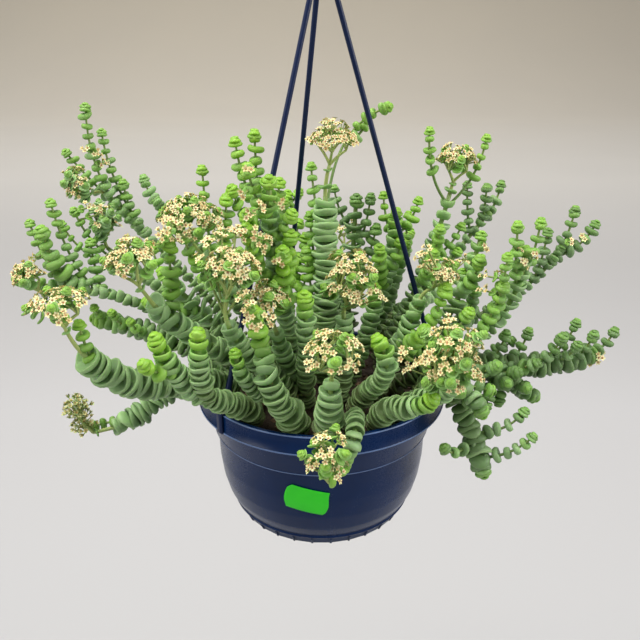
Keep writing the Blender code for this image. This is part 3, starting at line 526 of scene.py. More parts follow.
# Every stem with its forks and shoots: the share of the parent where a branch leaves it, points on
# the way and at the tip, and the length of the leaves low down and near the tip
stems = {
    "left_long": [
        stem((-50, -26), (-94, -64, 4), (-118, -80, 52), 9.5, 8.5, 40),
        shoot(0.9, (-117, -79, 66)),
    ],
    "left_low": [
        stem((-57, -10), (-98, -32, -12), (-122, -38, -16), 8.5, 7, 42),
        shoot(0.86, (-134, -34, -18), 3.2),
    ],
    "left_mid": [
        stem((-54, 2), (-96, 0, 28), (-142, 8, 35), 8, 7),
        shoot(0.9, (-136, 0, 45), 3), shoot(0.79, (-124, -6, 44), 3), shoot(0.68, (-112, -11, 40), 3),
    ],
    "left_up": [
        stem((-28, -20), (-72, -46, 38), (-85, -62, 70), 7.5, 6.5, 34),
        shoot(0.85, (-77, -50, 99), 4.2),
    ],
    "left_back": [
        stem((-30, -2), (-60, -10, 30), (-92, -15, 74), 6.5, 5.5),
        shoot(0.76, (-98, -26, 58)), shoot(0.92, (-97, -4, 82)),
    ],
    "left_high": [
        stem((-42, 30), (-96, 50, 56), (-138, 50, 104), 6.5, 5),
        shoot(0.84, (-142, 47, 156), 3.8, 0, (-146, 47, 108)),
        shoot(0.8, (-137, 57, 140), 3.6, 0, (-136, 57, 108)),
        shoot(0.86, (-160, 54, 128), 3.6, 0, (-150, 60, 110)), shoot(0.8, (-125, 50, 110), 3.8),
    ],
    "left_spray": [
        stem((-50, 18), (-98, 26, 44), (-134, 29, 74), 6.5, 5),
        fork(0.21, (-118, 2, 60), (-152, -6, 57), 5.2, 5),
        shoot(0.85, (-149, 24, 98), 3.3), shoot(0.77, (-155, 16, 92), 3.2),
        shoot(0.81, (-157, -9, 94), 5, 1), shoot(0.72, (-153, 0, 108), 3.6, 1),
        shoot(0.9, (-167, 1, 96), 3.4, 1), shoot(0.79, (-181, 2, 62), 3.8, 1, (-170, 4, 58)),
        shoot(0.7, (-137, 11, 82), 3.8, 1),
    ],
    "back_left_high": [
        stem((-24, 30), (-80, 66, 56), (-114, 78, 95), 7, 5.5, 34),
        shoot(0.94, (-120, 83, 107), 4), shoot(0.81, (-102, 74, 91), 4),
    ],
    "front_left_low": [
        stem((-35, -45), (-66, -88, 14), (-79, -90, 66), 8, 5.2, 28),
        fork(0.53, (-60, -92, 34), (-58, -88, 68), 6, 5.2),
        shoot(0.81, (-83, -97, 53), 4),
    ],
    "centre_left": [
        stem((-17, -32), (-44, -56, 32), (-49, -60, 62), 7.5, 6, 34),
        fork(0.2, (-38, -76, 16), (-44, -72, 50), 4.5, 4.5),
    ],
    "front_left": [
        stem((-13, -55), (-28, -80, 18), (-30, -68, 53), 10, 5.5),
        shoot(0.97, (-33, -72, 70), 4.5),
    ],
    "centre_fork": [
        stem((-8, -26), (-20, -36, 18), (-25, -42, 48), 7, 5.5),
        fork(0.15, (-8, -50, 30), (-9, -53, 74), 5.4, 5.6),
    ],
    "bright_front": [
        stem((-12, -10), (-30, -34, 84), (-26, -43, 131), 5.5, 5.5),
        shoot(0.72, (-38, -46, 112), 4.2), shoot(0.85, (-37, -40, 134), 4.2),
        shoot(0.79, (-15, -40, 111), 3.8), shoot(0.55, (-16, -40, 100), 4.6),
        shoot(0.5, (-20, -46, 93), 4.4), shoot(0.6, (-38, -50, 106), 4.2),
    ],
    "front_centre": [stem((3, -58), (3, -86, 14), (5, -78, 37), 9.5, 6.5)],
    "front_droop": [
        stem((15, -57), (19, -114, 32), (10, -93, -10), 6.5, 5.5, 28),
        shoot(0.85, (2, -103, -6), 3.6, 0, (7, -103, -12)),
    ],
    "front_right": [stem((28, -53), (48, -88, 16), (56, -88, 33), 7.5, 6, 32)],
    "front_right_up": [stem((18, -34), (46, -64, 24), (27, -54, 50), 7, 6)],
    "front_right_head": [stem((40, -44), (70, -68, 16), (66, -72, 30), 7, 5.5, 30)],
    "right_short": [
        stem((49, -34), (80, -60, 28), (87, -61, 3), 6.5, 5.5, 32),
        shoot(0.5, (93, -50, 14), 4.2),
    ],
    "right_droop": [
        stem((56, -24), (77, -46, 14), (94, -50, -42), 7.8, 6.8, 38),
        shoot(0.8, (114, -46, 0), 3.6, 0, (104, -46, -16)),
        shoot(0.92, (119, -50, -14), 3.6, 0, (108, -50, -28)),
        shoot(0.84, (67, -60, -15), 3.6, 0, (74, -60, -24)), shoot(0.35, (74, -60, 19), 4.2),
        shoot(0.5, (88, -58, 6), 4.2),
    ],
    "right_long": [
        stem((58, -8), (102, -22, 2), (165, -13, 21), 8.8, 7.4, 38),
        fork(0.43, (106, -26, 12), (128, -26, -4), 7, 6),
        shoot(0.76, (149, -12, 40)), shoot(0.88, (157, -20, 36)), shoot(0.95, (173, -10, 34)),
        shoot(0.53, (108, -14, 34)), shoot(0.63, (123, -8, 33)), shoot(0.5, (103, -30, -4), 4, 1),
        shoot(0.75, (118, -24, -2), 3.8, 1), shoot(0.35, (95, -34, -5), 4, 1),
        shoot(0.72, (137, -26, 37), 3.8), shoot(0.8, (147, -24, 31)), shoot(0.36, (115, -4, 25), 3.8),
        shoot(0.3, (97, -42, 26), 4.2), shoot(0.45, (111, -36, 19), 4.2), shoot(0.55, (122, -32, 23), 4),
        shoot(0.4, (104, -40, 14), 4.2, 1), shoot(0.6, (117, -36, 9), 4, 1),
    ],
    "right_up": [
        stem((38, -14), (118, -20, 24), (111, -22, 90), 7, 6),
        fork(0.22, (84, -2, 44), (93, 2, 92), 6.5, 6),
        shoot(0.85, (104, -28, 102)), shoot(0.85, (120, -16, 101)), shoot(0.66, (99, -33, 86)),
        shoot(0.62, (89, -14, 79), 4.4, 1), shoot(0.42, (99, -30, 69), 4.2),
        shoot(0.5, (83, 2, 66), 4.2, 1),
    ],
    "right_far": [
        stem((50, 24), (124, 30, 20), (153, 34, 76), 5.6, 5, 30),
        shoot(0.9, (157, 36, 96), 3.8), shoot(0.94, (171, 36, 87), 3.8), shoot(0.82, (139, 28, 84), 3.8),
        shoot(0.42, (93, 8, 53), 4.4), shoot(0.6, (115, 18, 39), 4), shoot(0.5, (85, 6, 44), 4.2),
    ],
    "pale_right": [
        stem((30, -22), (46, -22, 30), (56, -22, 60), 7, 5.5),
        shoot(0.62, (56, -42, 48), 4.4), shoot(0.55, (68, -30, 68), 4.4), shoot(0.5, (81, -34, 55), 4.2),
    ],
    "high_right": [
        stem((36, 14), (68, 28, 60), (78, 31, 108), 6, 5.5),
        shoot(0.95, (62, 22, 145), 3.4, 0, (62, 22, 116), 0.5),
        shoot(0.94, (99, 38, 139), 3.4, 0, (96, 40, 112), 0.5), shoot(0.69, (70, 12, 90), 4),
        shoot(0.6, (66, 4, 77), 4), shoot(0.7, (87, 34, 86), 3.8), shoot(0.55, (85, 30, 71), 4),
    ],
    "lime_right": [
        stem((20, 14), (46, 22, 54), (45, 24, 100), 6, 5),
        fork(0.21, (46, 38, 40), (54, 42, 76), 7, 6),
        shoot(0.86, (59, 30, 103), 3.6), shoot(0.61, (34, 6, 80), 4), shoot(0.72, (48, 18, 81), 4),
        shoot(0.85, (38, 36, 105)), shoot(0.8, (55, 44, 91), 3.6, 1),
    ],
    "back_right_high": [
        stem((36, 34), (84, 52, 56), (112, 63, 90), 6, 5),
        shoot(0.85, (94, 60, 107)), shoot(0.94, (106, 57, 106)), shoot(0.93, (118, 68, 106)),
    ],
    "tall_centre": [
        stem((2, 0), (4, 0, 60), (2, 4, 112), 9, 7.8),
        shoot(0.88, (38, 18, 158), 3.6, 0, (5, 38, 146), 0.66),
        shoot(0.52, (27, 26, 151), 3.4, 1, None, 0.4), shoot(0.83, (-6, 15, 126), 3.6),
        shoot(0.56, (-7, 12, 98), 3.8), shoot(0.4, (-9, 6, 78), 4.4),
    ],
    "centre_right": [
        stem((10, -20), (14, -30, 26), (12, -32, 55), 7.5, 6),
        fork(0.09, (32, -4, 28), (31, -6, 62), 6.5, 5.5),
    ],
    "up_left": [
        stem((-24, 12), (-54, 8, 48), (-73, 4, 80), 6.5, 5.5),
        shoot(0.83, (-70, 22, 123), 4), shoot(0.8, (-54, 2, 110), 4.2), shoot(0.7, (-81, -8, 102), 4),
    ],
    "bright_shoots": [
        stem((-12, 10), (-28, 12, 60), (-38, 12, 114), 6, 5),
        fork(0.31, (-34, 52, 54), (-21, 58, 104), 5.6, 5.4),
        shoot(0.91, (-49, 14, 140), 4.2), shoot(0.97, (-38, 16, 144), 4.2), shoot(0.85, (-51, 4, 115), 4.2),
        shoot(0.82, (-24, 8, 118), 4.4), shoot(0.9, (-14, 58, 103), 3.6, 1),
        shoot(0.6, (-14, 52, 84), 3.8, 1), shoot(0.75, (-24, 50, 99), 3.6, 1),
        shoot(0.3, (-10, 42, 77), 4.6, 1), shoot(0.2, (-8, 32, 60), 4.8, 1),
        shoot(0.36, (-12, 38, 65), 4.4, 1),
    ],
    "dark_back": [
        stem((14, 28), (20, 42, 54), (22, 46, 104), 7, 6),
        fork(0.24, (8, 74, 40), (14, 92, 52), 6, 5),
        shoot(0.83, (8, 52, 106), 3.6), shoot(0.73, (31, 46, 102), 3.8), shoot(0.6, (35, 44, 83), 4),
    ],
    "back_low": [stem((-6, 54), (-8, 96, 8), (-16, 122, 14), 7, 6, 30)],
    "back_left_low": [
        stem((-34, 46), (-64, 84, 14), (-92, 106, 30), 7, 6, 36),
        fork(0.2, (-56, 78, 36), (-66, 94, 48), 6.5, 5),
        shoot(0.78, (-86, 108, 46)),
    ],
    "back_right_low": [
        stem((36, 46), (66, 80, 12), (96, 98, 26), 7, 6, 36),
        fork(0.19, (50, 76, 44), (64, 92, 70), 6.5, 5.5),
        shoot(0.82, (88, 108, 44)),
    ],
}

# Every flower head: the stem and branch that carry it, its centre, half width and half height
heads = {
    "far_left_top": ("left_high", 0, (-152, 41, 112), 8.5, 11.5),
    "left_dark": ("left_spray", 0, (-133, 29, 92), 10.5, 11.5),
    "far_left": ("left_spray", 1, (-166, -16, 70), 10, 10),
    "left_front": ("left_long", 0, (-122, -87, 79), 17, 10),
    "left_middle": ("left_up", 0, (-91, -70, 96), 16, 12.5),
    "left_big": ("up_left", 0, (-74, -8, 102), 21, 15),
    "centre_left": ("centre_left", 0, (-45, -63, 90), 17.5, 13),
    "centre_small": ("centre_fork", 0, (-28, -47, 68), 12.5, 12),
    "top": ("tall_centre", 0, (6, 2, 143), 16.5, 12),
    "centre": ("centre_right", 0, (15, -36, 78), 17, 17),
    "front_big": ("front_centre", 0, (5, -86, 55), 18, 13.5),
    "front_low": ("front_droop", 1, (1, -110, 13), 13, 12.5),
    "right_pale": ("pale_right", 0, (66, -25, 75), 12.5, 9),
    "right_top": ("high_right", 0, (80, 31, 127), 15, 12),
    "right_big": ("front_right_head", 0, (61, -87, 52), 18, 19),
    "old_left": ("left_low", 0, (-138, -41, -4), 8, 14),
    "back_left": ("back_left_low", 1, (-70, 102, 62), 14, 10),
    "back": ("dark_back", 1, (18, 100, 66), 14, 10),
    "back_right": ("back_right_low", 0, (106, 104, 38), 13, 10),
}

# Small groups of flowers on their own, on thin stalks from a stem: place, and how many
sprays = {
    "bright_front": [
        (-35, -50, 134, 2), (-39, -50, 123, 2), (-29, -54, 118, 3), (-20, -48, 117, 3), (-36, -52, 113, 4),
        (-32, -56, 105, 4), (-39, -56, 103, 3), (-29, -58, 98, 3), (-22, -56, 90, 3), (-26, -54, 101, 3),
    ],
    "front_left": [
        (-36, -78, 75, 4), (-36, -80, 69, 4), (-31, -82, 65, 3), (-25, -80, 69, 4), (-39, -76, 79, 4),
    ],
    "centre_left": [
        (-49, -58, 106, 5), (-42, -56, 107, 5), (-56, -60, 102, 5), (-60, -62, 94, 4), (-35, -66, 86, 4),
    ],
    "left_up": [(-78, -58, 105, 6), (-74, -52, 111, 5), (-72, -52, 101, 4), (-84, -60, 100, 4)],
    "left_high": [(-137, 44, 129, 4), (-134, 46, 123, 4), (-144, 44, 131, 3)],
    "left_spray": [(-138, 22, 101, 4), (-133, 24, 97, 4), (-155, -10, 76, 3), (-164, -12, 79, 4)],
    "front_right_head": [
        (61, -76, 67, 4), (65, -78, 63, 4), (40, -78, 50, 5), (42, -80, 43, 4), (48, -82, 47, 4),
    ],
    "right_up": [
        (93, -7, 84, 2), (88, -26, 74, 4), (88, -28, 66, 4), (98, -26, 75, 3), (99, -28, 67, 4),
        (107, -26, 88, 3), (110, -28, 81, 4), (116, -26, 85, 3),
    ],
    "right_far": [(155, 28, 78, 2), (162, 30, 80, 2)],
    "right_long": [(163, -18, 20, 5), (159, -18, 17, 3)],
    "pale_right": [(52, -32, 87, 5), (56, -32, 91, 3), (54, -34, 82, 3)],
    "centre_right": [(32, -44, 67, 4), (26, -46, 71, 3)],
}


# Flowers

floretForm = {
    "radius": 2.0,
    # a petal's points, its middle last: share of the radius, degrees from its middle line, height,
    # and nearness to the rim; then the petal's faces
    "petal": ((0.46, -36, 0.04, 0.6), (0.76, -24, 0.18, 1.0), (1.0, 0, 0.06, 1.0), (0.76, 24, 0.18, 1.0),
              (0.46, 36, 0.04, 0.6), (0.2, 0, 0.02, 0.1), (0.62, 0, 0.06, 0.9)),
    "fan": ((0, 1, 6), (1, 2, 6), (2, 3, 6), (3, 4, 6), (4, 5, 6), (5, 0, 6)),
    # rings round the dark heart and down the green cup: share of the radius, and height
    "heart": ((0.24, 0.0), (0.18, 0.2)),
    "cup": ((0.5, 0.0), (0.34, -0.3), (0.12, -0.48)),
}
bloomForm = {
    "apart": 1.68,            # how fast the spiral of a cluster's flowers widens
    "between": 7.2,           # from one cluster to the next
    "tries": 320,             # places tried for the clusters
    "foot": 3.0,              # length of stalk inside the stem
    "stalk": (1.2, 0.96),     # radii at the foot and the far end, here and below
    "ray": (0.95, 0.7),
    "branch": (0.65, 0.5),
    "pedicel": (0.42, 0.33),
    "bract": 2.1,
    "tuft": 2.3,              # size of the bud on a leafy shoot
}
plainBloom = {
    # how many leafy shoots are among the flowers and the age of their leaves, the clusters' spacing,
    # the least and most flowers in one, the leaf pairs on the stalk, and 1 for an old dry head
    "leaves": 0, "age": 0.3, "between": 1.0, "least": 4, "most": 9, "deep": False, "pairs": 1, "old": 0.0,
}
bloomManners = {
    # heads with leaves among their flowers, and looser, closer or deeper ones
    "right_big": {"leaves": 16, "age": 0.36, "between": 1.15, "deep": True},
    "left_dark": {"leaves": 12, "age": 0.5, "between": 1.2, "most": 6, "deep": True},
    "left_big": {"leaves": 11},
    "top": {"between": 0.9, "pairs": 2},
    "right_top": {"leaves": 4, "between": 0.85, "pairs": 2},
    "centre": {"leaves": 6, "between": 1.15, "least": 6, "most": 10, "deep": True},
    "centre_left": {"leaves": 6, "between": 0.9},
    "centre_small": {"leaves": 6, "between": 0.95},
    "front_big": {"leaves": 4, "between": 1.16, "least": 5},
    "front_low": {"leaves": 6, "between": 1.45, "least": 5, "deep": True},
    "old_left": {"between": 0.74, "most": 7, "deep": True, "old": 1.0},
    "far_left": {"leaves": 3, "between": 0.8, "age": 0.4},
    "left_middle": {"leaves": 6, "between": 0.95, "least": 5},
    "left_front": {"leaves": 5, "between": 0.95, "least": 5},
    "right_pale": {"leaves": 2},
    "far_left_top": {"leaves": 8, "between": 0.75, "age": 0.45, "most": 6, "deep": True},
}


def floret(skin, spot, facing, rng, radius, tone, old):
    # five pointed petals round a small dark heart, over a green cup
    side = facing.orthogonal().normalized()
    side = Matrix.Rotation(rng.uniform(0, 1.26), 3, facing) @ side
    across = facing.cross(side)
    close = 0.9 if old else rng.uniform(0.0, 0.5)
    points, rims, faces = [], [], []
    for k in range(5):
        faces += [tuple(len(points) + i for i in corner) for corner in floretForm["fan"]]
        length = radius * rng.uniform(0.92, 1.05)
        for share, turn, height, edge in floretForm["petal"]:
            reach = length * share * (1 - 0.25 * close * share)
            lift = length * (height + 0.45 * close * share ** 2)
            points.append(spot + swing(side, across, math.radians(72 * k + turn)) * reach + facing * lift)
            rims.append(edge)
    skin.add(points, faces, 2, age=old, rim=rims, tone=tone)

    def fives(rings):
        return [spot + swing(side, across, math.radians(72 * k + 36)) * (radius * share)
                + facing * (radius * height) for share, height in rings for k in range(5)]

    heart = fives(floretForm["heart"])
    skin.add(heart, bands(2, 5), 2, age=old, rim=0.0, tone=tone)
    skin.add(heart[5:] + [spot + facing * (radius * 0.12)], [(i, (i + 1) % 5, 5) for i in range(5)], 2,
             age=old, rim=[0.0] * 5 + [0.3], tone=tone)
    skin.add(fives(floretForm["cup"]), bands(3, 5), 1, age=old * 0.2, tone=tone)


def clusterOf(skin, node, spot, outward, rng, count, old, spin):
    # a few flowers close together on their own little stalks
    side = outward.orthogonal().normalized()
    across = outward.cross(side)
    for j in range(count):
        distance = bloomForm["apart"] * math.sqrt(j + 0.3)
        angle = j * spiralStep + spin
        offset = swing(side, across, angle) * distance
        top = spot + offset * rng.uniform(0.85, 1.15)
        top = top + outward * (rng.uniform(-0.9, 0.7) - 0.05 * distance ** 2)
        facing = (outward + offset * 0.1 + Vector([rng.gauss(0, 0.22) for _ in range(3)])).normalized()
        radius = floretForm["radius"] * rng.uniform(0.85, 1.08)
        stalk = [node, top - facing * radius * 0.45]
        tube(skin, stalk, bloomForm["pedicel"], 3, 1, age=old * 0.15)
        floret(skin, top, facing, rng, radius, rng.random(), old)


def nearest(points, spot):
    return min(points, key=lambda point: (point - spot).length)


def addSprays(skin, groups, done, rng):
    # a few flowers on a thin stalk from the nearest stem
    for x, y, z, count in groups:
        spot = Vector((x, y, z))
        start = nearest([point for points in done for point in points[12:]], spot)
        outward = ((spot - start).normalized() + Vector((0.0, -0.4, 0.5))).normalized()
        node = spot - outward * 3.0
        ray = bowed([start, start.lerp(node, 0.6) - outward, node], 4)
        tube(skin, ray, np.linspace(0.7, 0.5, 5), 4, 1, age=0.2)
        clusterOf(skin, node, spot, outward, rng, count, 0.0, x)
        smallLeaf(skin, ray[2], outward, outward.orthogonal().normalized(), rng, 3.0, 0.25)


def scatter(halfWidth, halfHeight, manner, rng):
    # where a head's clusters sit: over its dome, or all through it where it is deep
    spots = []
    widest = halfWidth - min(3.2, halfWidth * 0.25)
    for _ in range(bloomForm["tries"]):
        angle, reach = rng.uniform(0, math.tau), widest * math.sqrt(rng.random())
        share = reach / halfWidth
        high = halfHeight * (0.7 - 1.1 * share ** 2) + rng.uniform(-0.16, 0.16) * halfHeight
        if manner["deep"]:
            high = halfHeight * rng.uniform(-0.85, 0.8) * (1 - 0.5 * share ** 2)
        place = polar(reach, angle, high)
        if all((place - other).length > bloomForm["between"] * manner["between"] for other in spots):
            spots.append(place)
    return spots


def makeBloom(name, row, courses, looks, rng):
    owner, branch, centre, halfWidth, halfHeight = row
    manner = {**plainBloom, **bloomManners.get(name, {})}
    old = manner["old"]
    dull = old * 0.12
    skin = Skin()
    points = courses[owner][branch]
    heading = (points[-1] - points[-2]).normalized()
    foot = points[-1] - heading * bloomForm["foot"]
    centre = Vector(centre)
    axis = ((centre - points[-1]).normalized() * 0.6 + up).normalized()
    turn = up.rotation_difference(axis).to_matrix()
    low = centre - axis * halfHeight * 1.05
    fork = foot.lerp(low, 0.75) + heading * (low - foot).length * 0.15
    stalk = bowed([foot, foot + heading * (fork - foot).length * 0.5, fork], 6)
    tube(skin, stalk, np.linspace(*bloomForm["stalk"], 7), 6, 1, age=dull)
    side = heading.orthogonal().normalized()
    for step in range(manner["pairs"]):
        smallLeaf(skin, stalk[5 - 3 * step], heading, side, rng, 3.0 + 1.8 * step, 0.4)
        side = heading.cross(side)

    # the stalk divides into rays, which carry the clusters and the leafy shoots
    lobeCount = 3 if halfWidth > 12 else 2
    first = rng.uniform(0, math.tau)
    lobes = []
    for k in range(lobeCount):
        angle = first + math.tau * k / lobeCount + rng.uniform(-0.3, 0.3)
        lobes.append(centre + turn @ polar(halfWidth * 0.48, angle, -halfHeight * 0.55))
    for lobe in lobes:
        ray = bowed([fork, fork.lerp(lobe, 0.5) + axis * 1.5, lobe], 4)
        tube(skin, ray, np.linspace(*bloomForm["ray"], 5), 5, 1, age=dull)
    for k, place in enumerate(scatter(halfWidth, halfHeight, manner, rng)):
        spot = centre + turn @ place
        outward = (turn @ Vector((place.x, place.y, halfWidth * 0.7))).normalized()
        lobe = nearest(lobes, spot)
        node = spot - outward * rng.uniform(3.4, 4.8)
        ray = bowed([lobe, lobe.lerp(node, 0.5) + axis * 0.8, node], 3)
        tube(skin, ray, np.linspace(*bloomForm["branch"], 4), 4, 1, age=dull)
        if rng.random() < 0.75 and not old:
            side = outward.orthogonal().normalized()
            bract = bloomForm["bract"] * rng.uniform(0.8, 1.4)
            smallLeaf(skin, node + outward * 0.8, outward, side, rng, bract, 0.2)
        clusterOf(skin, node, spot, outward, rng, rng.randint(manner["least"], manner["most"]), old, k)
    for k in range(manner["leaves"]):
        angle, share = k * spiralStep, 0.85 * math.sqrt((k + 0.5) / manner["leaves"])
        reach = halfWidth * share
        high = halfHeight * (rng.uniform(-0.7, 0.7) if manner["deep"] else 0.55 - 1.1 * share ** 2)
        tip = centre + turn @ polar(reach, angle, high)
        outward = (turn @ polar(reach, angle, halfWidth * 0.8)).normalized()
        lobe = nearest(lobes, tip)
        tube(skin, [lobe, lobe.lerp(tip, 0.5) + axis * 0.8, tip], (0.7, 0.6, 0.5), 4, 1, age=0.4)
        side = outward.orthogonal().normalized()
        for inner in (6.8, 3.4, 0.0):
            spot = tip - outward * inner
            smallLeaf(skin, spot, outward, side, rng, rng.uniform(3.0, 4.2), manner["age"])
            side = outward.cross(side)
        bun(skin, tip + outward * 1.2, outward, side, rng, bloomForm["tuft"], manner["age"] - 0.1)
    piece = skin.make("bloom_" + name, looks)
    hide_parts("flower_head_" + name)
    return piece


# Pot, saucer, label and soil

potForm = {
    "around": 144,
    # profiles of radius and height, from the floor inside, over the lip and down the outside
    "inside": ((0.01, -78.2), (54.0, -78.2), (58.0, -70.0), (62.6, -50.0), (64.0, -29.4), (68.4, -13.0),
               (71.5, -10.4)),
    "lip": ((71.5, -6.0), (71.5, 0.0), (75.0, 0.0), (75.0, -11.3)),
    "ridge": ((75.0, -10.4), (75.5, -10.9), (75.5, -11.5), (74.0, -11.9), (70.9, -11.9)),
    "body": ((70.9, -11.9), (70.2, -12.4), (66.7, -28.9), (66.2, -29.7), (65.0, -30.2), (64.4, -48.0),
             (62.9, -60.0), (60.3, -70.0), (56.6, -77.4)),
    "foot": ((56.3, -77.8), (56.6, -78.2), (56.7, -79.0), (56.2, -79.7), (40.0, -79.7), (0.01, -79.7)),
    "lipRound": 1.9,
    "bodyRound": 1.2,
    # the edges of the lip's foot, of the step below it and of the lip, painted pale blue as a painted
    # highlight where light catches them
    "paintedHighlightEdges": (((75.4, -10.55), (75.62, -10.85), (75.62, -11.2), (75.4, -11.6)),
                  ((66.94, -28.5), (66.96, -28.75), (66.8, -29.1), (66.55, -29.45)),
                  ((74.45, -0.16), (74.72, -0.42), (74.9, -0.75))),
}


def potRadius(height):
    # of the pot's body
    points = potForm["body"]
    for (upperRadius, upper), (lowerRadius, lower) in zip(points, points[1:]):
        if height >= lower:
            return upperRadius + (lowerRadius - upperRadius) * (upper - height) / (upper - lower)
    return points[-1][0]


def makePot(looks):
    form = potForm
    skin = Skin()
    lip, body = rounded(form["lip"], form["lipRound"], 6), rounded(form["body"], form["bodyRound"], 3)
    outside = lip[:-1] + list(form["ridge"]) + body[1:] + list(form["foot"])
    for profile in (outside, form["inside"] + form["lip"][:1]):
        lathe(skin, profile, form["around"])
    for edge in form["paintedHighlightEdges"]:
        # the pale edge bands take the second look: a painted highlight along the edges
        lathe(skin, edge, form["around"], 1)
    piece = skin.make("potWall", looks)
    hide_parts("pot")


saucerForm = {
    "top": 54.2,              # radius at the rim
    "foot": 52.4,
    "height": 6.2,
    "rim": -80.0,             # height of the rim
    "wall": 1.4,
    "ribs": 30,
    "ribWidth": 1.2,
    "ribDepth": 2.0,
    "ribOut": 0.9,
}


def makeSaucer(looks):
    form = saucerForm
    skin = Skin()
    rim, top, foot, wall = form["rim"], form["top"], form["foot"], form["wall"]
    base = rim - form["height"]
    profile = [(0.01, base + wall), (foot - wall, base + wall), (top - wall, rim), (top, rim),
               (top + 0.3, rim - 0.5), (top, rim - 1.6), (foot + 0.2, base + 0.6), (foot - 0.6, base),
               (0.01, base)]
    lathe(skin, profile, form["ribs"])
    half = form["ribWidth"] / 2
    section = [(form["ribDepth"], -half), (0.2, -half), (0.0, -half * 0.5)]
    section += [(back, -side) for back, side in reversed(section)]
    levels = ((rim - 0.2, top + form["ribOut"]), (rim - 1.8, top + form["ribOut"]), (base + 0.4, foot + 0.7))
    for k in range(form["ribs"]):
        turn = Matrix.Rotation(math.tau * k / form["ribs"], 3, "Z")
        corners = [turn @ Vector((radius - back, side, height)) for height, radius in levels
                   for back, side in section]
        skin.add(corners, bands(3, 6))
        skin.add(corners[:6], [(0, 1, 2, 3), (0, 3, 4, 5)])
        skin.add(corners[12:], [(3, 2, 1, 0), (5, 4, 3, 0)])
    piece = skin.make("saucerDish", looks, smooth=False)
    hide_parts("drip_saucer")


labelForm = {
    "width": 26.0,
    "height": 16.0,
    "thick": 0.25,
    "clear": 0.45,            # from the pot's wall
    "azimuth": 262.6,
    "middle": -47.0,
    "tilt": -12.0,
    "columns": 28,
    "rows": 12,
}


def labelEnds(share):
    # where the two wavy ends are at a share of the label's height, from the straight ones
    left = 1.3 - 1.5 * math.sin(math.pi * share) ** 0.8 + 0.9 * math.exp(-(share / 0.22) ** 2)
    right = 1.7 * math.sin(math.pi * min(1.0, share * 1.15)) ** 1.5 * (1.1 - 0.9 * share) - 1.4
    return left + 1.6 * max(0.0, share - 0.85) / 0.15, right - (share < 0.05)


def makeLabel(looks):
    # the outline of a price-gun label, wrapped on the pot's body
    form = labelForm
    columns, rows = form["columns"], form["rows"]
    cos, sin = math.cos(math.radians(form["tilt"])), math.sin(math.radians(form["tilt"]))
    points = []
    for clear in (form["clear"], form["clear"] + form["thick"]):
        for j in range(rows + 1):
            left, right = labelEnds(j / rows)
            high = (j / rows - 0.5) * form["height"]
            for i in range(columns + 1):
                across = left - form["width"] / 2 + (form["width"] + right - left) * i / columns
                height = form["middle"] + across * sin + high * cos
                radius = potRadius(height) + clear
                angle = math.radians(form["azimuth"]) + (across * cos - high * sin) / radius
                points.append(polar(radius, angle, height))
    around = columns + 1
    sheet = bands(rows + 1, around, closed=False)
    count = around * (rows + 1)
    rim = list(range(around)) + [j * around + columns for j in range(1, rows + 1)]
    rim += [rows * around + i for i in range(columns - 1, -1, -1)]
    rim += [j * around for j in range(rows - 1, 0, -1)]
    edge = [(a, b, b + count, a + count) for a, b in zip(rim, rim[1:] + rim[:1])]
    skin = Skin()
    skin.add(points, np.concatenate([sheet[:, ::-1], sheet + count, np.array(edge)]))
    piece = skin.make("labelPaper", looks)
    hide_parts("price_sticker")


soilForm = {
    "edge": 71.0,
    "rings": 26,
    "around": 72,
    "rough": 0.55,
    # below the edge, where the soil lies against the pot
    "depth": ((70.8, -10.6), (67.8, -13.2), (63.5, -29.4), (57.5, -70.0), (53.5, -77.8), (0.01, -77.8)),
    "chips": 420,
}


def makeSoil(looks, rng):
    # a rough surface of peat with bark chips, over the body of the soil
    form = soilForm
    skin = Skin()
    rings, around, edge = form["rings"], form["around"], form["edge"]
    points = []
    for ring in range(rings + 1):
        for k in range(around):
            x, y, _ = polar(edge * (ring + 0.02) / rings, math.tau * k / around, 0.0)
            rough = 0.8 * math.sin(x * 0.31 + 2 * math.sin(y * 0.23)) + 0.6 * math.sin(y * 0.43 + x * 0.17)
            rough += rng.uniform(-form["rough"], form["rough"])
            points.append((x, y, soilTop - 0.2 + rough * (0.4 if ring == rings else 1.0)))
    skin.add(points, bands(rings + 1, around))
    lathe(skin, ((edge, soilTop),) + form["depth"], around)
    for _ in range(form["chips"]):
        angle, reach = rng.uniform(0, math.tau), edge * math.sqrt(rng.random()) * 0.97
        spot = polar(reach, angle, soilTop + 0.4)
        spin = Matrix.Rotation(rng.uniform(0, 6.3), 3, "Z") @ Matrix.Rotation(rng.uniform(-0.6, 0.6), 3, "X")
        long, wide, deep = rng.uniform(1.2, 3.6), rng.uniform(0.8, 1.8), rng.uniform(0.4, 0.9)
        corners = []
        for z in (-deep, deep):
            for k in range(6):
                x, y, _ = polar(1.0, math.tau * k / 6, 0.0)
                corner = Vector((long * x * rng.uniform(0.8, 1.1), wide * y, z * rng.uniform(0.6, 1)))
                corners.append(spin @ corner + spot)
        skin.add(corners, bands(2, 6), 1, tone=rng.random())
        skin.add(corners[6:], [(0, 1, 2, 3), (0, 3, 4, 5)], 1, tone=rng.random())
    piece = skin.make("soilSurface", looks, smooth=False)
    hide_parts("soil")


# Hanger

hangerForm = {
    "rod": 1.5,
    "azimuths": (222.0, 110.7, 8.4),
    "foot": 73.2,             # radius at which the rods stand
    "head": 1.6,              # and at which they meet
    "collar": ((0.01, 227.8), (4.2, 227.8), (5.0, 228.6), (4.9, 233.0), (3.9, 239.0), (3.0, 240.0),
               (0.01, 240.0)),
    "clip": ((71.0, -5.0), (71.0, 0.35), (75.35, 0.35), (75.35, -11.2)),      # next to the pot's lip
    "clipBack": ((69.7, -5.0), (69.7, 1.65), (76.65, 1.65), (76.65, -11.2)),
    "clipWidth": 4.5,
    "hook": 8.0,              # its inner radius
    "wire": 2.2,
}


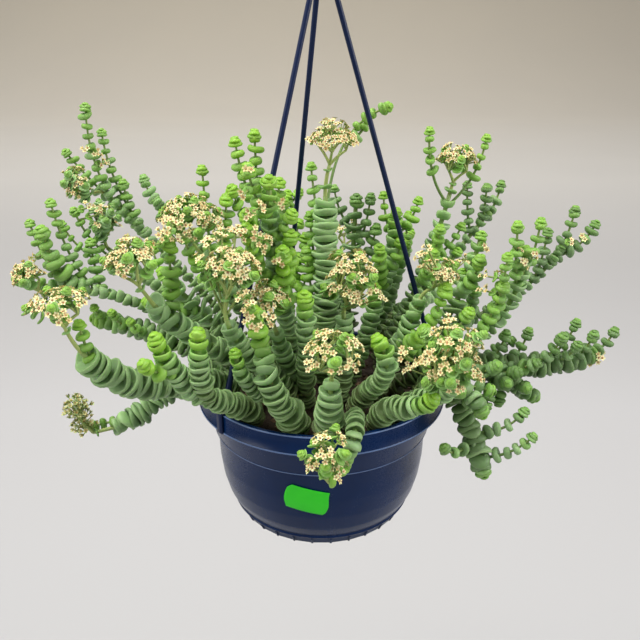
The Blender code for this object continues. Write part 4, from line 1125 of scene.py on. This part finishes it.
def makeHanger(looks):
    form = hangerForm
    skin = Skin()
    clip, clipBack = rounded(form["clip"], 0.8, 3), rounded(form["clipBack"], 1.4, 3)
    half = form["clipWidth"] / 2
    for azimuth in form["azimuths"]:
        angle = math.radians(azimuth)
        foot, head = polar(form["foot"], angle, 1.0), polar(form["head"], angle, 233.0)
        radii = [form["rod"] * (1.0 + 0.5 * math.exp(-(i / 1.2) ** 2)) for i in range(25)]   # thick foot
        tube(skin, [foot.lerp(head, i / 24) for i in range(25)], radii, 14)
        turn = Matrix.Rotation(angle, 3, "Z")
        strap = []
        for near, back in zip(clip, clipBack):
            for (radius, height), side in ((near, -half), (back, -half), (back, half), (near, half)):
                strap.append(turn @ Vector((radius, side, height)))
        skin.add(strap, bands(len(clip), 4))
        skin.add(strap[:4] + strap[-4:], [(3, 2, 1, 0), (4, 5, 6, 7)])
    lathe(skin, rounded(form["collar"], 0.7, 3), 32)
    middle, radius = -rimHeight - form["hook"], form["hook"] + form["wire"]
    arc = []
    for i in range(33):
        angle = math.radians(-50.0 + 255.0 * i / 32)
        arc.append((radius * math.cos(angle), 0.0, middle + radius * math.sin(angle)))
    x, _, z = arc[0]
    shank = [(0.0, 0.0, 238.0), (0.0, 0.0, z - 7.0), (1.6, 0.0, z - 4.4), (x * 0.62, 0.0, z - 2.1)]
    tube(skin, shank + arc, [form["wire"]] * 36 + [form["wire"] * 0.8], 16)
    piece = skin.make("hangerRods", looks)
    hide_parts("hanger")


# Looks

leafSkin = {
    # from the youngest leaf to the oldest, then the two margins and the deep shade
    "lime": tint(134, 184, 46),
    "fresh": tint(122, 168, 76),
    "greyed": tint(146, 180, 124),
    "deep": tint(104, 131, 76),
    "old": tint(92, 82, 48),
    "margin": tint(176, 206, 138),
    "youngMargin": tint(170, 216, 84),
    "shade": tint(62, 92, 44),
}


def makeLeafLook():
    look = Look("leafSkin", Subsurface_Weight=0.18, Subsurface_Scale=0.004, Specular_IOR_Level=0.42)
    look.shader.inputs["Subsurface Radius"].default_value = (0.5, 1.0, 0.25)
    look.shader.subsurface_method = "RANDOM_WALK"
    age, rim, tone = look.painted("age"), look.painted("rim"), look.painted("tone")
    mottle = look.noise(260.0, 4.0)
    flesh = look.ramp((age + (mottle - 0.5) * 0.16).held(), (0.0, leafSkin["lime"]),
                      (0.34, leafSkin["fresh"]), (0.52, leafSkin["greyed"]), (0.74, leafSkin["deep"]),
                      (0.97, leafSkin["old"]))
    margin = look.mix((age * 2.2).held(), leafSkin["youngMargin"], leafSkin["margin"])
    spotted = look.spread(look.noise(900.0, 2.0), 0.62, 0.75)
    flesh = look.mix(spotted * 0.18, flesh, leafSkin["margin"])
    edge = (rim ** 2.0) * 0.34 * (1.0 - look.spread(age, 0.68, 0.92) * 0.75)
    flesh = look.mix(edge, flesh, margin)
    flesh = look.mix(look.spread(tone, 0.5, 1.2) * 0.6, flesh, leafSkin["shade"])
    look.feed("Base Color", flesh)
    look.feed("Roughness", 0.36 + 0.2 * mottle + 0.1 * age)
    look.bump(look.noise(520.0, 3.0), 0.25, 0.0006)
    return look


def makeStalkLook():
    look = Look("stalkSkin", Roughness=0.5, Subsurface_Weight=0.1, Subsurface_Scale=0.002)
    age = (look.painted("age") + (look.noise(300.0) - 0.5) * 0.2).held()
    look.feed("Base Color", look.ramp(age, (0.0, tint(168, 182, 104)), (0.4, tint(112, 142, 70)),
                                      (0.7, tint(96, 112, 62)), (0.95, tint(92, 80, 54))))
    look.bump(look.noise(420.0, 3.0, (1.0, 1.0, 0.3)), 0.3, 0.0005)
    return look


def makePetalLook():
    look = Look("petals", Subsurface_Weight=0.25, Subsurface_Scale=0.0015)
    age, rim, tone = look.painted("age"), look.painted("rim"), look.painted("tone")
    cream = look.mix(tone, tint(246, 234, 176), tint(228, 208, 146))
    heart = look.mix(tone, tint(172, 112, 78), tint(196, 156, 98))
    live = look.mix(look.spread(rim, 0.08, 0.5), heart, cream)
    dry = look.mix(look.spread(rim, 0.1, 0.8), tint(160, 146, 84), tint(206, 204, 142))
    look.feed("Base Color", look.mix(age, live, dry))
    look.feed("Roughness", 0.5 + 0.25 * look.noise(800.0))
    look.bump(look.noise(1500.0, 2.0), 0.2, 0.0003)
    return look


def makePlasticLook(name, base, palePatch, gloss):
    look = Look(name, Specular_IOR_Level=0.24)
    cloud = look.noise(34.0, 4.0, (1.0, 1.0, 0.5))
    grain = look.noise(1500.0, 2.0)
    # a second colour in cloudy patches: paler plastic on the pot, saucer and hanger, while on the edge bands
    # both colours are painted highlight
    look.feed("Base Color", look.mix(look.spread(cloud, 0.35, 0.75) * 0.5, base, palePatch))
    look.feed("Roughness", gloss + 0.12 * cloud + 0.05 * grain)
    look.bump(grain + cloud * 0.6, 0.12, 0.0003)
    return look


def makeLabelLook():
    look = Look("labelPaper")
    fade = look.noise(120.0, 3.0)
    look.feed("Base Color", look.mix(look.spread(fade, 0.3, 0.8) * 0.5, tint(34, 204, 14), tint(58, 222, 34)))
    look.feed("Roughness", 0.42 + 0.2 * fade)
    look.bump(look.noise(900.0, 3.0), 0.15, 0.0002)
    return look


def makeSoilLook():
    look = Look("peat")
    grain, clump = look.noise(900.0, 5.0), look.noise(160.0, 4.0)
    earth = look.mix(grain, tint(34, 26, 20), tint(84, 66, 48))
    look.feed("Base Color", look.mix(look.spread(clump, 0.35, 0.7) * 0.6, earth, tint(52, 40, 30)))
    look.feed("Roughness", 0.8 + 0.2 * grain)
    look.bump(grain + clump, 0.7, 0.001)
    return look


def makeChipLook():
    look = Look("barkChips")
    grain = look.noise(1100.0, 4.0, (0.4, 1.0, 1.0))
    bark = look.mix(look.painted("tone"), tint(64, 44, 30), tint(128, 98, 68))
    look.feed("Base Color", look.mix(grain * 0.6, bark, tint(38, 28, 22)))
    look.feed("Roughness", 0.7 + 0.25 * grain)
    look.bump(grain, 0.5, 0.0006)
    return look


# The plant

plantLooks = [makeLeafLook(), makeStalkLook(), makePetalLook()]
carriers = {row[:2] for row in heads.values()}       # the branches that end in a head
courses = {}
faceCount = 0
for number, (name, rows) in enumerate(stems.items()):
    rng = random.Random(100 + number)
    skin = Skin()
    courses[name] = done = []
    for branch, row in enumerate(rows):
        row["carries"] = (name, branch) in carriers
        points = course(row, done)
        done.append(points)
        leafyPiece(skin, row, points, rng, {**plainManner, **manners.get(name, {})})
    addSprays(skin, sprays.get(name, []), done, rng)
    piece = skin.make("leaves_" + name, plantLooks)
    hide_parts("leafy_stem_" + name)
    faceCount += len(piece.data.polygons)
print("leafy stems:", len(stems), "faces:", faceCount)

faceCount = 0
for number, (name, row) in enumerate(heads.items()):
    piece = makeBloom(name, row, courses, plantLooks, random.Random(500 + number))
    faceCount += len(piece.data.polygons)
print("flower heads:", len(heads), "faces:", faceCount)


# The pot and what hangs it

plastics = {
    # its own colour, the paler one in patches, and the lowest roughness
    "navyPlastic": (tint(0, 29, 68), tint(8, 42, 90), 0.18),
    # the pale blues painted on the pot's edge bands are a painted highlight, not the plastic's own colour
    "paintedHighlightEdge": (tint(84, 106, 148), tint(112, 134, 172), 0.24),
    "saucerPlastic": (tint(20, 38, 70), tint(32, 52, 88), 0.3),
    "hangerPlastic": (tint(14, 28, 62), tint(24, 42, 80), 0.26),
}
navy, paintedHighlightEdge, saucerBlue, hangerBlue = [makePlasticLook(name, *row) for name, row in plastics.items()]
makePot([navy, paintedHighlightEdge])
makeSaucer([saucerBlue])
makeHanger([hangerBlue])
makeLabel([makeLabelLook()])
makeSoil([makeSoilLook(), makeChipLook()], random.Random(7))
print("pot, saucer, hanger, label and soil made")


# The floor, the light and the camera

stageForm = {
    "floor": -0.95,           # height
    "near": -4.0,
    "far": 14.0,
    "half": 9.0,              # of its width
    "bend": 5.6,              # radius where the floor turns up into the wall
    "top": 11.05,
}


def makeStage():
    form = stageForm
    turn, floor = form["far"] - form["bend"], form["floor"]
    profile = [(form["near"], floor), (turn, floor)]
    for i in range(1, 21):
        angle = i * math.pi / 40
        profile.append((turn + form["bend"] * math.sin(angle), floor + form["bend"] * (1 - math.cos(angle))))
    profile.append((form["far"], form["top"]))
    points = [(side, y, z) for y, z in profile for side in (-form["half"], form["half"])]
    faces = [(2 * i, 2 * i + 1, 2 * i + 3, 2 * i + 2) for i in range(len(profile) - 1)]
    mesh = bpy.data.meshes.new("backdrop")
    mesh.from_pydata(points, [], faces)
    mesh.polygons.foreach_set("use_smooth", [True] * len(faces))
    look = Look("backdropCloth", Roughness=0.95, Specular_IOR_Level=0.1)
    depth = look.node("ShaderNodeSeparateXYZ", {}, {0: look.place()}, 1)
    # a pale sweep ramped by depth: the floor in front of the pot is painted darker grey as painted shade,
    # further back it is painted lighter to make up for the lamps' falloff, and the wall is a little warmer
    sweepAndShade = look.ramp(look.spread(depth, -2.0, 14.0), (0.1, tint(170, 170, 170)),
                      (0.2, tint(210, 208, 206)), (0.4, tint(230, 225, 215)), (0.9, tint(215, 205, 185)))
    stain = look.spread(look.noise(1.1, 2.0), 0.3, 0.7) * 0.06
    look.feed("Base Color", look.mix(stain, sweepAndShade, tint(190, 186, 178)))
    mesh.materials.append(look.material)
    backdrop = bpy.data.objects.new("backdrop", mesh)
    bpy.context.scene.collection.objects.link(backdrop)


middle = (0.0, 0.0, -0.22)
lights = {
    # where each one is and what it aims at, its width and height, and its power
    "ceilingLight": ((-0.5, -0.2, 1.5), middle, 1.4, 1.4, 37.0, (1.0, 0.99, 0.95)),
    "leftLight": ((-1.6, -0.9, 0.3), middle, 1.2, 1.2, 12.0),
    "rightLight": ((1.5, -0.5, 0.4), middle, 0.8, 0.8, 16.0),
    "backdropLight": ((-0.6, 5.0, 2.4), (-0.6, 5.4, -0.95), 7.0, 2.4, 53.0),
    "wallLight": ((-1.2, 8.0, 3.2), (-1.2, 11.5, 0.7), 12.0, 2.6, 100.0),
}


def addLight(name, spot, aim, wide, high, power, colour=(1.0, 1.0, 1.0)):
    lamp = bpy.data.lights.new(name, "AREA")
    lamp.shape, lamp.size, lamp.size_y = "ELLIPSE", wide, high
    lamp.energy, lamp.color = power, colour
    made = bpy.data.objects.new(name, lamp)
    made.location = spot
    made.rotation_euler = (Vector(aim) - Vector(spot)).to_track_quat("-Z", "Y").to_euler()
    bpy.context.scene.collection.objects.link(made)


def makeRoom():
    # soft light from all round, dimmer from the viewer's side
    room = bpy.data.worlds.new("room")
    room.use_nodes = True
    nodes, links = room.node_tree.nodes, room.node_tree.links
    air = nodes["Background"]
    air.inputs["Color"].default_value = (0.95, 0.955, 1.0, 1.0)
    heading = nodes.new("ShaderNodeTexCoord")
    split = nodes.new("ShaderNodeSeparateXYZ")
    dim = nodes.new("ShaderNodeMapRange")
    for socket, value in (("From Min", -0.9), ("From Max", 0.3), ("To Min", 0.34), ("To Max", 0.75)):
        dim.inputs[socket].default_value = value
    links.new(heading.outputs["Generated"], split.inputs[0])
    links.new(split.outputs["Y"], dim.inputs["Value"])
    links.new(dim.outputs[0], air.inputs["Strength"])
    bpy.context.scene.world = room


cameraForm = {
    "place": (-0.0009, -0.3915, -0.0808),
    "tilt": 68.42,            # degrees up from straight down
    "lens": 39.375,           # focal length and sensor width, in millimetres
    "sensor": 36.0,
}


def makeCamera():
    lens = bpy.data.cameras.new("camera")
    lens.sensor_width, lens.lens = cameraForm["sensor"], cameraForm["lens"]
    camera = bpy.data.objects.new("camera", lens)
    camera.location = cameraForm["place"]
    camera.rotation_euler = (math.radians(cameraForm["tilt"]), 0.0, 0.0)
    bpy.context.scene.collection.objects.link(camera)
    bpy.context.scene.camera = camera


makeStage()
for name, row in lights.items():
    addLight(name, *row)
makeRoom()
makeCamera()
bpy.context.scene.view_settings.view_transform = "Standard"
print("floor, lights and camera made")
